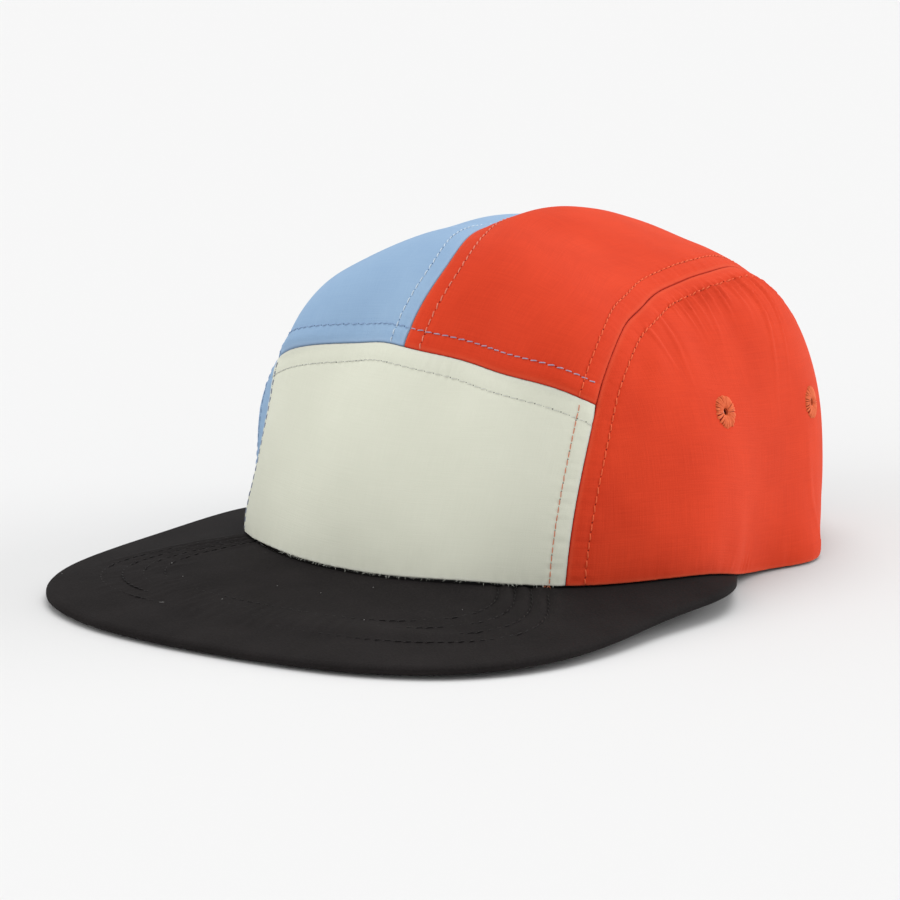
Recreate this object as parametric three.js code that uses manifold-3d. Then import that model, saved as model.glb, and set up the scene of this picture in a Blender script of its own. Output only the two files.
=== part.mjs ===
import * as THREE from 'three';
import { mergeVertices } from 'three/addons/utils/BufferGeometryUtils.js';
import Module from 'manifold-3d';

// Five panel cap, millimetres. The visor points to -Y, +X is the wearer's left, +Z is up.

// Crown sizes
const CROWN_LENGTH = 200;
const CROWN_WIDTH = 161.5;
const CROWN_HEIGHT = 106.5;
const TUCK_DEPTH = 118;
const PANEL_WALL = 1.5;
const SEAM_GAP = 0.3;

// Visor sizes; the lean makes its left side reach a little less than its right
const VISOR_REACH = 66;
const VISOR_THICKNESS = 2.8;
const VISOR_END_TURN = 109;
const VISOR_TUCK = 0.8;
const VISOR_EDGE_ROUND = 2.4;
const VISOR_EDGE_LEFT = 0.9;
const VISOR_LEAN = 0.25;

// Sweatband sizes
const SWEATBAND_HEIGHT = 30;
const SWEATBAND_THICKNESS = 1.2;
const SWEATBAND_GAP = 0.5;
const SWEATBAND_DROP = 1;
const SWEATBAND_STEP = 26;

// Opening, strap and buckle at the back
const ARCH_WIDTH = 68;
const ARCH_HEIGHT = 44;
const STRAP_HEIGHT = 20;
const STRAP_THICKNESS = 1.6;
const STRAP_LIFT = 2;
const STRAP_OVERLAP = 14;
const BUCKLE_LENGTH = 14;
const BUCKLE_BORDER = 3;
const BUCKLE_WALL = 1.4;
const BUCKLE_CLEARANCE = 0.9;

// Eyelet sizes
const EYELET_DIAMETER = 11.6;
const EYELET_HOLE = 2.4;
const EYELET_RISE = 1;
const EYELET_CREST = 2;
const EYELET_LIP = { hole: 0.6, rim: 0.4 };
const EYELET_CUT_DEPTH = 8;

// Where the panels meet: turns in degrees from the front, heights as shares of the crown's height
const FRONT_SEAM = { middle: 0.714, corner: 0.590, cornerTurn: 65.9, bow: 0.02 };
const FRONT_FOOT_TURN = 55;
const FRONT_FOOT_BOW = -1.9;
const SIDE_SEAM = [
  { turn: 68.5, height: 0.642 },
  { turn: 74, height: 0.712 },
  { turn: 85, height: 0.782 },
  { turn: 103, height: 0.817 },
  { turn: 121, height: 0.835 },
  { turn: 136, height: 0.853 },
  { turn: 147, height: 0.845 },
  { turn: 154, height: 0.790 },
  { turn: 157, height: 0.600 },
  { turn: 157, height: 0.300 },
];
const SIDE_SEAM_FOOT_TURN = 156;

// Crown sections every 30 degrees: reach is a share of the ellipse of the crown's length and width,
// widest level and hem are shares of its height, and fullness is how square the section bends
const SECTIONS = [
  { turn: 0, reach: 0.72, fullness: 1.66, widest: 0.009, hem: 0.118 },
  { turn: 30, reach: 0.819, fullness: 1.56, widest: -0.053, hem: 0.125 },
  { turn: 60, reach: 0.882, fullness: 2.5, widest: -0.050, hem: 0.099 },
  { turn: 90, reach: 1, fullness: 2.08, widest: 0.153, hem: 0.084 },
  { turn: 120, reach: 1.009, fullness: 2.15, widest: 0.274, hem: 0.007 },
  { turn: 150, reach: 1.239, fullness: 2.48, widest: 0.225, hem: 0.004 },
  { turn: 180, reach: 1.28, fullness: 2.58, widest: 0.214, hem: 0.018 },
];

// Fullness of the very top, and the tilts in degrees between which it gives way to the sections'
const TOP_FULLNESS = 2.05;
const TOP_FROM_TILT = 3;
const TOP_TO_TILT = 34;

// Visor outline: share of the end turn, reach as a share of the visor's reach beyond the hem,
// climb as the share of the way from the resting edge up to the hem
const VISOR_OUTLINE = [
  { share: 0, reach: 1, climb: 0 },
  { share: 0.1, reach: 1.005, climb: 0.01 },
  { share: 0.2, reach: 1.02, climb: 0.03 },
  { share: 0.3, reach: 0.995, climb: 0.08 },
  { share: 0.4, reach: 0.862, climb: 0.14 },
  { share: 0.5, reach: 0.656, climb: 0.24 },
  { share: 0.6, reach: 0.477, climb: 0.36 },
  { share: 0.7, reach: 0.33, climb: 0.53 },
  { share: 0.8, reach: 0.21, climb: 0.72 },
  { share: 0.9, reach: 0.085, climb: 0.88 },
  { share: 1, reach: 0, climb: 1 },
];

// How far each kind of panel swells out between its seams, as a share of the crown's height
const SWELL = { front: 0.004, top: 0.003, side: 0.005 };
const SWELL_SQUARENESS = 0.4;
const FOLD_FADE = 0.16;

// Folds in a side panel: place along and up the panel, half widths both ways as shares of the
// panel, lean in shares along per share up, and rise as a share of the crown's height
const SIDE_FOLDS = [
  { along: 0.3, up: 0.84, halfAlong: 0.035, halfUp: 0.16, lean: 0.35, rise: 0.009 },
  { along: 0.42, up: 0.86, halfAlong: 0.035, halfUp: 0.15, lean: 0.2, rise: 0.009 },
  { along: 0.54, up: 0.86, halfAlong: 0.04, halfUp: 0.15, lean: 0, rise: 0.008 },
  { along: 0.67, up: 0.85, halfAlong: 0.04, halfUp: 0.17, lean: -0.15, rise: 0.007 },
  { along: 0.5, up: 0.1, halfAlong: 0.03, halfUp: 0.12, lean: 0.1, rise: 0.007 },
  { along: 0.8, up: 0.3, halfAlong: 0.045, halfUp: 0.3, lean: -0.05, rise: 0.011 },
  { along: 0.72, up: 0.8, halfAlong: 0.22, halfUp: 0.2, lean: 0, rise: 0.026 },
];

// Bulges in the top panels: place across from the middle seam and back from the front panel,
// half widths as shares of the panel, and rise as a share of the crown's height
const CORNER_BULGE = { along: 0.85, up: 0.057, halfAlong: 0.25, halfUp: 0.113, lean: 0, rise: 0.026 };
const TOP_BULGES = {
  left: [CORNER_BULGE, { along: 0.22, up: 0.284, halfAlong: 0.3, halfUp: 0.131, lean: 0, rise: 0.046 }],
  right: [CORNER_BULGE, { along: 0.4, up: 0.298, halfAlong: 0.3, halfUp: 0.107, lean: 0, rise: 0.01 }],
};

// Eyelets of a side panel, placed along it from its front seam and up from its hem
const EYELETS = [
  { place: 'front', along: 0.47, up: 0.53 },
  { place: 'rear', along: 0.8, up: 0.47 },
];

// Divisions of the panel grids and bands
const FRONT_ROWS = 10;
const HALF_FRONT_COLUMNS = 10;
const SIDE_COLUMNS = 18;
const ARCH_ROWS = 11;
const VISOR_COLUMNS = 52;
const VISOR_ROWS = [0, 0.5, 1];
const EDGE_ANGLES = [20, 45, 70, 90];
const BAND_COLUMNS = 66;
const BAND_ROWS = 3;
const STRAP_COLUMNS = 16;
const EYELET_SEGMENTS = 16;
const HALVING_STEPS = 36;
const LOWEST_TILT = 144;
const SPOT_NUDGE = 0.002;
const PLACE_NUDGE = 0.05;

const degrees = THREE.MathUtils.degToRad;
const lerp = THREE.MathUtils.lerp;
const apexTurn = Math.PI;

// Smooth curve through evenly spaced values, mirrored past both ends
function smoothThrough(values, place) {
  const last = values.length - 1;
  const start = THREE.MathUtils.clamp(Math.floor(place), 0, last - 1);
  const share = place - start;
  const mirrored = (index) => values[last - Math.abs(last - Math.abs(index))];
  const [before, from, to, after] = [-1, 0, 1, 2].map((step) => mirrored(start + step));
  const bend = 2 * before - 5 * from + 4 * to - after;
  const twist = 3 * (from - to) + after - before;
  return from + 0.5 * share * (to - before + share * (bend + share * twist));
}

// Value of one column of the crown sections at a turn, the same on the left and the right
function section(column, turn) {
  const wrapped = Math.abs(Math.atan2(Math.sin(turn), Math.cos(turn)));
  const place = (wrapped / Math.PI) * (SECTIONS.length - 1);
  return smoothThrough(SECTIONS.map((row) => row[column]), place);
}

// Outline ellipse of the crown seen from above
function ellipseReach(turn) {
  return 1 / Math.hypot(Math.sin(turn) / (CROWN_WIDTH / 2), Math.cos(turn) / (CROWN_LENGTH / 2));
}

// Point of the crown at a turn from the front and a tilt down from its top
function crownPoint(turn, tilt) {
  const reach = section('reach', turn) * ellipseReach(turn);
  const spread = THREE.MathUtils.smoothstep(tilt, degrees(TOP_FROM_TILT), degrees(TOP_TO_TILT));
  const fullness = lerp(TOP_FULLNESS, section('fullness', turn), spread);
  const widest = section('widest', turn) * CROWN_HEIGHT;
  const side = Math.sin(tilt);
  const rise = Math.cos(tilt);
  const depth = rise > 0 ? CROWN_HEIGHT - widest : TUCK_DEPTH;
  const sum = Math.pow(side / reach, fullness) + Math.pow(Math.abs(rise) / depth, fullness);
  const radius = Math.pow(sum, -1 / fullness);
  const out = radius * side;
  return new THREE.Vector3(out * Math.sin(turn), -out * Math.cos(turn), widest + radius * rise);
}

// Tilt at which the crown's wall at a turn passes a height, found by halving
function tiltAtHeight(turn, height) {
  let low = 0;
  let high = degrees(LOWEST_TILT);
  for (let step = 0; step < HALVING_STEPS; step += 1) {
    const middle = (low + high) / 2;
    if (crownPoint(turn, middle).z > height) low = middle;
    else high = middle;
  }
  return (low + high) / 2;
}

function hemHeight(turn) {
  return section('hem', turn) * CROWN_HEIGHT;
}

// A spot is the flat map of the crown: its angle is the turn and its length is the tilt
function spotAt(turn, tilt) {
  return new THREE.Vector2(tilt * Math.sin(turn), -tilt * Math.cos(turn));
}

function spotAtHeight(turn, height) {
  return spotAt(turn, tiltAtHeight(turn, height));
}

function pointAtSpot(spot) {
  return crownPoint(Math.atan2(spot.x, -spot.y), spot.length());
}

function normalAtSpot(spot) {
  const stepX = new THREE.Vector2(SPOT_NUDGE, 0);
  const stepY = new THREE.Vector2(0, SPOT_NUDGE);
  const alongX = pointAtSpot(spot.clone().add(stepX)).sub(pointAtSpot(spot.clone().sub(stepX)));
  const alongY = pointAtSpot(spot.clone().add(stepY)).sub(pointAtSpot(spot.clone().sub(stepY)));
  return alongX.cross(alongY).normalize();
}

// Evenly spaced spots along a polyline of spots
function spreadSpots(spots, count) {
  const path = new THREE.CurvePath();
  for (let index = 1; index < spots.length; index += 1) {
    path.add(new THREE.LineCurve(spots[index - 1], spots[index]));
  }
  return path.getSpacedPoints(count);
}

function countUp(count, make) {
  return Array.from({ length: count + 1 }, (_, index) => make(index / count));
}

// Seams and edges of the left half, each as a row of spots
function frontTopSeam() {
  return countUp(HALF_FRONT_COLUMNS, (share) => {
    const squared = share * share;
    const bow = FRONT_SEAM.bow * squared * (1 - squared);
    const height = lerp(FRONT_SEAM.middle, FRONT_SEAM.corner, squared) + bow;
    return spotAtHeight(degrees(share * FRONT_SEAM.cornerTurn), height * CROWN_HEIGHT);
  });
}

function frontSideSeam() {
  const foot = hemHeight(degrees(FRONT_FOOT_TURN));
  const corner = FRONT_SEAM.corner * CROWN_HEIGHT;
  return countUp(FRONT_ROWS, (share) => {
    const bow = FRONT_FOOT_BOW * 4 * share * (1 - share);
    const turn = lerp(FRONT_FOOT_TURN, FRONT_SEAM.cornerTurn, share) + bow;
    return spotAtHeight(degrees(turn), lerp(foot, corner, share));
  });
}

function upperSideSeam(corner) {
  const foot = degrees(SIDE_SEAM_FOOT_TURN);
  const rows = SIDE_SEAM.map((row) => spotAtHeight(degrees(row.turn), row.height * CROWN_HEIGHT));
  const spots = [corner, ...rows, spotAtHeight(foot, hemHeight(foot))];
  return new THREE.SplineCurve(spots).getSpacedPoints(SIDE_COLUMNS + FRONT_ROWS);
}

function hemEdge(fromTurn, toTurn, count) {
  return countUp(count, (share) => {
    const turn = degrees(lerp(fromTurn, toTurn, share));
    return spotAtHeight(turn, hemHeight(turn));
  });
}

// Half turn that the arched opening takes at the hem
const backReach = section('reach', apexTurn) * ellipseReach(apexTurn);
const archHalfTurn = Math.asin(ARCH_WIDTH / 2 / backReach);

function archEdge(count) {
  return countUp(count, (share) => {
    const sweep = (share * Math.PI) / 2;
    const turn = apexTurn - archHalfTurn * Math.sin(sweep);
    return spotAtHeight(turn, hemHeight(turn) + ARCH_HEIGHT * Math.cos(sweep));
  });
}

// Grid of spots filled in between four edges that share their corners
function fillGrid(bottom, top, left, right) {
  const columns = bottom.length - 1;
  const rows = left.length - 1;
  return left.map((leftSpot, row) => bottom.map((bottomSpot, column) => {
    const across = column / columns;
    const up = row / rows;
    const spot = bottomSpot.clone().multiplyScalar(1 - up).addScaledVector(top[column], up);
    spot.addScaledVector(leftSpot, 1 - across).addScaledVector(right[row], across);
    spot.addScaledVector(bottom[0], -(1 - across) * (1 - up));
    spot.addScaledVector(bottom[columns], -across * (1 - up));
    spot.addScaledVector(top[0], -(1 - across) * up);
    return spot.addScaledVector(top[columns], -across * up);
  }));
}

// Direction in the wall, square to the edge between two neighbouring points, into the panel
function inwardFrom(before, after, normal) {
  return normal.clone().cross(after.clone().sub(before)).normalize();
}

// Each grid point with its surface normal, drawn in at the edges by half the seam gap
function clothPoints(grid) {
  const rows = grid.length - 1;
  const columns = grid[0].length - 1;
  const points = grid.map((line) => line.map(pointAtSpot));
  const normals = grid.map((line) => line.map(normalAtSpot));
  const at = (row, column) => points[THREE.MathUtils.clamp(row, 0, rows)][
    THREE.MathUtils.clamp(column, 0, columns)];
  const handed = Math.sign(
    at(0, 1).clone().sub(at(0, 0)).cross(at(1, 0).clone().sub(at(0, 0))).dot(normals[0][0]),
  );
  const drawnIn = points.map((line, row) => line.map((point, column) => {
    const normal = normals[row][column].clone().multiplyScalar(handed);
    const pulls = [];
    const alongRow = [at(row, column - 1), at(row, column + 1)];
    const alongColumn = [at(row - 1, column), at(row + 1, column)];
    if (row === 0) pulls.push(inwardFrom(alongRow[0], alongRow[1], normal));
    if (row === rows) pulls.push(inwardFrom(alongRow[1], alongRow[0], normal));
    if (column === 0) pulls.push(inwardFrom(alongColumn[1], alongColumn[0], normal));
    if (column === columns) pulls.push(inwardFrom(alongColumn[0], alongColumn[1], normal));
    const pull = new THREE.Vector3();
    pulls.forEach((each) => pull.add(each));
    const sharpness = pulls.length === 2 ? 1 + pulls[0].dot(pulls[1]) : 1;
    return point.clone().addScaledVector(pull, SEAM_GAP / 2 / sharpness);
  }));
  return { points: drawnIn, normals, handed };
}

// Closed solid between two facing grids of points, each cell cut along its shorter diagonal
function slab(face, back) {
  const rows = face.length - 1;
  const columns = face[0].length - 1;
  const width = columns + 1;
  const count = width * (rows + 1);
  const points = [...face.flat(), ...back.flat()];
  const indices = [];
  const addQuad = (a, b, c, d) => {
    if (points[a].distanceTo(points[c]) <= points[b].distanceTo(points[d])) {
      indices.push(a, b, c, a, c, d);
    } else {
      indices.push(a, b, d, b, c, d);
    }
  };
  const faceAt = (row, column) => row * width + column;
  const backAt = (row, column) => count + row * width + column;
  for (let row = 0; row < rows; row += 1) {
    for (let column = 0; column < columns; column += 1) {
      addQuad(faceAt(row, column), faceAt(row, column + 1),
        faceAt(row + 1, column + 1), faceAt(row + 1, column));
      addQuad(backAt(row, column), backAt(row + 1, column),
        backAt(row + 1, column + 1), backAt(row, column + 1));
    }
    addQuad(faceAt(row, 0), faceAt(row + 1, 0), backAt(row + 1, 0), backAt(row, 0));
    addQuad(faceAt(row, columns), backAt(row, columns),
      backAt(row + 1, columns), faceAt(row + 1, columns));
  }
  for (let column = 0; column < columns; column += 1) {
    addQuad(faceAt(0, column), backAt(0, column), backAt(0, column + 1), faceAt(0, column + 1));
    addQuad(faceAt(rows, column), faceAt(rows, column + 1),
      backAt(rows, column + 1), backAt(rows, column));
  }
  const geometry = new THREE.BufferGeometry();
  const positions = points.flatMap((point) => point.toArray());
  geometry.setAttribute('position', new THREE.Float32BufferAttribute(positions, 3));
  geometry.setIndex(indices);
  return geometry;
}

// How far a panel swells and folds out of the plain crown at a place on it
function swell(size, along, up) {
  const between = Math.max(Math.sin(Math.PI * along) * Math.sin(Math.PI * up), 0);
  return size * Math.pow(between, SWELL_SQUARENESS);
}

function foldRise(folds, along, up) {
  const edge = Math.min(1, along / FOLD_FADE, (1 - along) / FOLD_FADE, (1 - up) / FOLD_FADE);
  return folds.reduce((total, fold) => {
    const climbed = (up - fold.up) / fold.halfUp;
    const offset = (along - fold.along - fold.lean * (up - fold.up)) / fold.halfAlong;
    return total + Math.max(edge, 0) * fold.rise * Math.exp(-climbed * climbed - offset * offset);
  }, 0);
}

const reliefWith = (size, folds) => (along, up) => swell(size, along, up) + foldRise(folds, along, up);

// Outer and inner grids of one cloth panel
function clothFaces(grid, relief) {
  const { points, normals, handed } = clothPoints(grid);
  const rows = grid.length - 1;
  const columns = grid[0].length - 1;
  const layer = (depth) => points.map((line, row) => line.map((point, column) => {
    const rise = relief(column / columns, row / rows) * CROWN_HEIGHT;
    return point.clone().addScaledVector(normals[row][column], rise - depth);
  }));
  return { outer: layer(0), inner: layer(PANEL_WALL), normals, handed };
}

function clothSolid({ outer, inner, handed }) {
  return handed > 0 ? slab(outer, inner) : slab(inner, outer);
}

// Copy of a solid on the other side of the cap
function mirrorSolid(geometry) {
  const mirrored = geometry.clone().applyMatrix4(new THREE.Matrix4().makeScale(-1, 1, 1));
  const index = mirrored.getIndex().array;
  for (let at = 0; at < index.length; at += 3) {
    [index[at], index[at + 1]] = [index[at + 1], index[at]];
  }
  return mirrored;
}

// Panel grids
const frontTop = frontTopSeam();
const frontSide = frontSideSeam();
const corner = frontSide[FRONT_ROWS];
const upperSide = upperSideSeam(corner);
const flip = (spot) => new THREE.Vector2(-spot.x, spot.y);

function frontPanelGrid() {
  const hem = hemEdge(-FRONT_FOOT_TURN, FRONT_FOOT_TURN, 2 * HALF_FRONT_COLUMNS);
  const top = [...frontTop.slice(1).reverse().map(flip), ...frontTop];
  return fillGrid(hem, top, frontSide.map(flip), frontSide);
}

function sidePanelGrid() {
  const hem = hemEdge(FRONT_FOOT_TURN, SIDE_SEAM_FOOT_TURN, SIDE_COLUMNS);
  const top = upperSide.slice(0, SIDE_COLUMNS + 1);
  return fillGrid(hem, top, frontSide, upperSide.slice(SIDE_COLUMNS).reverse());
}

// The middle seam and the arch make one long edge of a top panel, and the side seam the other
function topPanelGrid() {
  const arch = archEdge(ARCH_ROWS);
  const middle = spreadSpots([frontTop[0], arch[0]], SIDE_COLUMNS + FRONT_ROWS - ARCH_ROWS);
  const archFoot = 180 - THREE.MathUtils.radToDeg(archHalfTurn);
  const hem = hemEdge(archFoot, SIDE_SEAM_FOOT_TURN, HALF_FRONT_COLUMNS);
  return fillGrid(frontTop, hem, [...middle, ...arch.slice(1)], upperSide);
}

// Manifold solid of a geometry, and back
const wasm = await Module();
wasm.setup();

function toSolid(geometry) {
  const bare = geometry.clone();
  bare.deleteAttribute('normal');
  bare.deleteAttribute('uv');
  const merged = mergeVertices(bare);
  return new wasm.Manifold(new wasm.Mesh({
    numProp: 3,
    vertProperties: new Float32Array(merged.getAttribute('position').array),
    triVerts: new Uint32Array(merged.getIndex().array),
  }));
}

function toGeometry(solid) {
  const mesh = solid.getMesh();
  const geometry = new THREE.BufferGeometry();
  geometry.setAttribute('position', new THREE.Float32BufferAttribute(mesh.vertProperties, 3));
  geometry.setIndex(Array.from(mesh.triVerts));
  return geometry;
}

// Place on a panel's outer face between its grid points
function placeOn(faces, along, up) {
  const rows = faces.outer.length - 1;
  const columns = faces.outer[0].length - 1;
  const row = Math.min(Math.floor(up * rows), rows - 1);
  const column = Math.min(Math.floor(along * columns), columns - 1);
  const blend = (grid) => {
    const low = grid[row][column].clone().lerp(grid[row][column + 1], along * columns - column);
    const high = grid[row + 1][column].clone();
    high.lerp(grid[row + 1][column + 1], along * columns - column);
    return low.lerp(high, up * rows - row);
  };
  return { point: blend(faces.outer), normal: blend(faces.normals).normalize() };
}

// Turns flat offsets in millimetres round a place on a panel into places on that panel
function localMap(faces, along, up) {
  const centre = placeOn(faces, along, up);
  const placeAt = (x, y) => placeOn(faces, along + x, up + y).point;
  const alongStep = placeAt(PLACE_NUDGE, 0).sub(placeAt(-PLACE_NUDGE, 0)).divideScalar(2 * PLACE_NUDGE);
  const upStep = placeAt(0, PLACE_NUDGE).sub(placeAt(0, -PLACE_NUDGE)).divideScalar(2 * PLACE_NUDGE);
  const axisAlong = alongStep.clone().addScaledVector(centre.normal, -alongStep.dot(centre.normal));
  axisAlong.normalize();
  const axisUp = centre.normal.clone().cross(axisAlong);
  const [a, b] = [alongStep.dot(axisAlong), upStep.dot(axisAlong)];
  const [c, d] = [alongStep.dot(axisUp), upStep.dot(axisUp)];
  const area = a * d - b * c;
  return (x, y) => placeOn(faces, along + (d * x - b * y) / area, up + (a * y - c * x) / area);
}

// Embroidered ring laid on a side panel
function eyeletRing(faces, eyelet) {
  const outer = EYELET_DIAMETER / 2;
  const hole = EYELET_HOLE / 2;
  const middle = (outer + hole) / 2;
  const profile = [
    [hole, 0], [hole, EYELET_RISE * EYELET_LIP.hole], [middle - EYELET_CREST / 2, EYELET_RISE],
    [middle + EYELET_CREST / 2, EYELET_RISE], [outer, EYELET_RISE * EYELET_LIP.rim], [outer, 0], [hole, 0],
  ].map(([x, y]) => new THREE.Vector2(x, y));
  const bare = new THREE.LatheGeometry(profile, EYELET_SEGMENTS);
  bare.deleteAttribute('normal');
  bare.deleteAttribute('uv');
  const ring = mergeVertices(bare);
  const onPanel = localMap(faces, eyelet.along, eyelet.up);
  const positions = ring.getAttribute('position');
  for (let index = 0; index < positions.count; index += 1) {
    const { point, normal } = onPanel(-positions.getZ(index), positions.getX(index));
    point.addScaledVector(normal, SEAM_GAP + positions.getY(index));
    positions.setXYZ(index, point.x, point.y, point.z);
  }
  return ring;
}

// Round hole through a side panel under an eyelet
function eyeletCut(faces, eyelet) {
  const radius = EYELET_HOLE / 2;
  const { point, normal } = placeOn(faces, eyelet.along, eyelet.up);
  const cut = new THREE.CylinderGeometry(radius, radius, EYELET_CUT_DEPTH, EYELET_SEGMENTS);
  const turnOut = new THREE.Quaternion().setFromUnitVectors(new THREE.Vector3(0, 1, 0), normal);
  cut.applyQuaternion(turnOut);
  return toSolid(cut.translate(point.x, point.y, point.z));
}

function sidePanelSolid(faces) {
  const cuts = EYELETS.map((eyelet) => eyeletCut(faces, eyelet));
  return toGeometry(cuts.reduce((solid, cut) => solid.subtract(cut), toSolid(clothSolid(faces))));
}

// Point a depth inside the crown's outer face, at a turn and a height of that face
function insidePoint(turn, height, depth) {
  const spot = spotAtHeight(turn, height);
  return pointAtSpot(spot).addScaledVector(normalAtSpot(spot), -depth);
}

// Visor: a flat board in a cloth cover, tucked under the front hem
function visorColumn(share) {
  const turn = degrees(share * VISOR_END_TURN);
  const place = Math.abs(share) * (VISOR_OUTLINE.length - 1);
  const lean = 1 - VISOR_LEAN * share * (1 - Math.abs(share));
  const reach = smoothThrough(VISOR_OUTLINE.map((row) => row.reach), place) * VISOR_REACH * lean;
  const climb = smoothThrough(VISOR_OUTLINE.map((row) => row.climb), place);
  const hem = insidePoint(turn, hemHeight(turn), 0);
  const under = insidePoint(turn, hemHeight(turn), PANEL_WALL).z - SEAM_GAP;
  const inner = Math.hypot(hem.x, hem.y) - VISOR_TUCK;
  const outer = inner + VISOR_TUCK + Math.max(reach, 0);
  const half = VISOR_THICKNESS / 2;
  const start = under - half;
  const edge = lerp(half, start, THREE.MathUtils.clamp(climb, 0, 1));
  const round = Math.min(VISOR_EDGE_ROUND, (outer - inner) / 2);
  const at = (distance, offset) => {
    const level = lerp(start, edge, (distance - inner) / (outer - inner));
    return new THREE.Vector3(distance * Math.sin(turn), -distance * Math.cos(turn), level + offset);
  };
  const flat = VISOR_ROWS.map((part) => [lerp(inner, outer - round, part), half]);
  const rounded = EDGE_ANGLES.map((angle) => {
    const sweep = degrees(angle);
    const thin = lerp(VISOR_EDGE_LEFT / 2, half, Math.cos(sweep));
    return [outer - round + round * Math.sin(sweep), thin];
  });
  const steps = [...flat, ...rounded];
  return {
    top: steps.map(([distance, offset]) => at(distance, offset)),
    bottom: steps.map(([distance, offset]) => at(distance, -offset)),
  };
}

function visorSolid() {
  const columns = countUp(VISOR_COLUMNS, (share) => visorColumn(2 * share - 1));
  const rows = columns[0].top.map((_, row) => row);
  const top = rows.map((row) => columns.map((column) => column.top[row]));
  const bottom = rows.map((row) => columns.map((column) => column.bottom[row]));
  return slab(bottom, top);
}

// Depth of the strap's outer face and of the sweatband's, which steps in to clear the strap
const strapDepth = PANEL_WALL + SEAM_GAP;
const bandDepth = PANEL_WALL + SWEATBAND_GAP;
const bandStepIn = strapDepth + STRAP_THICKNESS + SEAM_GAP - bandDepth;
const strapHalfTurn = archHalfTurn + STRAP_OVERLAP / backReach;
const bandStepTurn = SWEATBAND_STEP / backReach;

function sweatbandSolid() {
  const endTurn = apexTurn - archHalfTurn;
  const layer = (depth) => countUp(BAND_ROWS, (up) => countUp(BAND_COLUMNS, (share) => {
    const turn = lerp(-endTurn, endTurn, share);
    const lowest = Math.max(hemHeight(turn) - SWEATBAND_DROP, SEAM_GAP);
    const height = lerp(lowest, hemHeight(turn) + SWEATBAND_HEIGHT, up);
    const fromStrap = apexTurn - strapHalfTurn - Math.abs(turn);
    const stepIn = 1 - THREE.MathUtils.smoothstep(fromStrap, bandStepTurn / 2, bandStepTurn);
    return insidePoint(turn, height, depth + bandStepIn * stepIn);
  }));
  return slab(layer(bandDepth), layer(bandDepth + SWEATBAND_THICKNESS));
}

// Strap across the arch, its ends between the panels and the sweatband
function strapSolid() {
  const layer = (depth) => countUp(1, (up) => countUp(STRAP_COLUMNS, (share) => {
    const turn = lerp(apexTurn - strapHalfTurn, apexTurn + strapHalfTurn, share);
    return insidePoint(turn, hemHeight(apexTurn) + STRAP_LIFT + up * STRAP_HEIGHT, depth);
  }));
  return slab(layer(strapDepth), layer(strapDepth + STRAP_THICKNESS));
}

// Plain slide buckle round the strap in the middle of the arch
function buckleSolid() {
  const slotDepth = STRAP_THICKNESS + 2 * BUCKLE_CLEARANCE;
  const slotHeight = STRAP_HEIGHT + 2 * BUCKLE_CLEARANCE;
  const box = (depth, height) => [
    [-depth / 2, -height / 2], [depth / 2, -height / 2], [depth / 2, height / 2], [-depth / 2, height / 2],
  ].map(([x, y]) => new THREE.Vector2(x, y));
  const outline = new THREE.Shape(box(slotDepth + 2 * BUCKLE_WALL, slotHeight + 2 * BUCKLE_BORDER));
  outline.holes.push(new THREE.Path(box(slotDepth, slotHeight)));
  const frame = new THREE.ExtrudeGeometry(outline, { depth: BUCKLE_LENGTH, bevelEnabled: false });
  frame.translate(0, 0, -BUCKLE_LENGTH / 2);
  const middle = hemHeight(apexTurn) + STRAP_LIFT + STRAP_HEIGHT / 2;
  const seat = insidePoint(apexTurn, middle, strapDepth + STRAP_THICKNESS / 2);
  const outward = normalAtSpot(spotAtHeight(apexTurn, middle));
  const sideways = new THREE.Vector3(1, 0, 0);
  const upward = sideways.clone().cross(outward);
  frame.applyMatrix4(new THREE.Matrix4().makeBasis(outward, upward, sideways));
  return frame.translate(seat.x, seat.y, seat.z);
}

// Materials
const cloth = (color) => new THREE.MeshStandardMaterial({ color, roughness: 0.9, metalness: 0 });
const OFF_WHITE = cloth(0xd8dbcf);
const LIGHT_BLUE = cloth(0x8fabd8);
const ORANGE_RED = cloth(0xdc4a34);
const CORAL_THREAD = cloth(0xe07058);
const BLUE_THREAD = cloth(0x94aed9);
const BLACK_CLOTH = cloth(0x26221f);
const BLACK_PLASTIC = new THREE.MeshStandardMaterial({ color: 0x1c1b1b, roughness: 0.45, metalness: 0 });

function piece(name, geometry, material) {
  const mesh = new THREE.Mesh(geometry, material);
  mesh.name = name;
  return mesh;
}

const topGrid = topPanelGrid();
const frontFaces = clothFaces(frontPanelGrid(), reliefWith(SWELL.front, []));
const topLeftFaces = clothFaces(topGrid, reliefWith(SWELL.top, TOP_BULGES.left));
const topRightFaces = clothFaces(topGrid, reliefWith(SWELL.top, TOP_BULGES.right));
const sideFaces = clothFaces(sidePanelGrid(), reliefWith(SWELL.side, SIDE_FOLDS));
const sideSolid = sidePanelSolid(sideFaces);

const cap = new THREE.Group();
cap.add(
  piece('front_panel', clothSolid(frontFaces), OFF_WHITE),
  piece('top_panel_left', clothSolid(topLeftFaces), ORANGE_RED),
  piece('top_panel_right', mirrorSolid(clothSolid(topRightFaces)), LIGHT_BLUE),
  piece('side_panel_left', sideSolid, ORANGE_RED),
  piece('side_panel_right', mirrorSolid(sideSolid), LIGHT_BLUE),
  piece('visor', visorSolid(), BLACK_CLOTH),
  piece('sweatband', sweatbandSolid(), BLACK_CLOTH),
  piece('back_strap', strapSolid(), BLACK_CLOTH),
  piece('strap_buckle', buckleSolid(), BLACK_PLASTIC),
);
EYELETS.forEach((eyelet) => {
  const ring = eyeletRing(sideFaces, eyelet);
  cap.add(piece(`eyelet_left_${eyelet.place}`, ring, CORAL_THREAD));
  cap.add(piece(`eyelet_right_${eyelet.place}`, mirrorSolid(ring), BLUE_THREAD));
});

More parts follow.
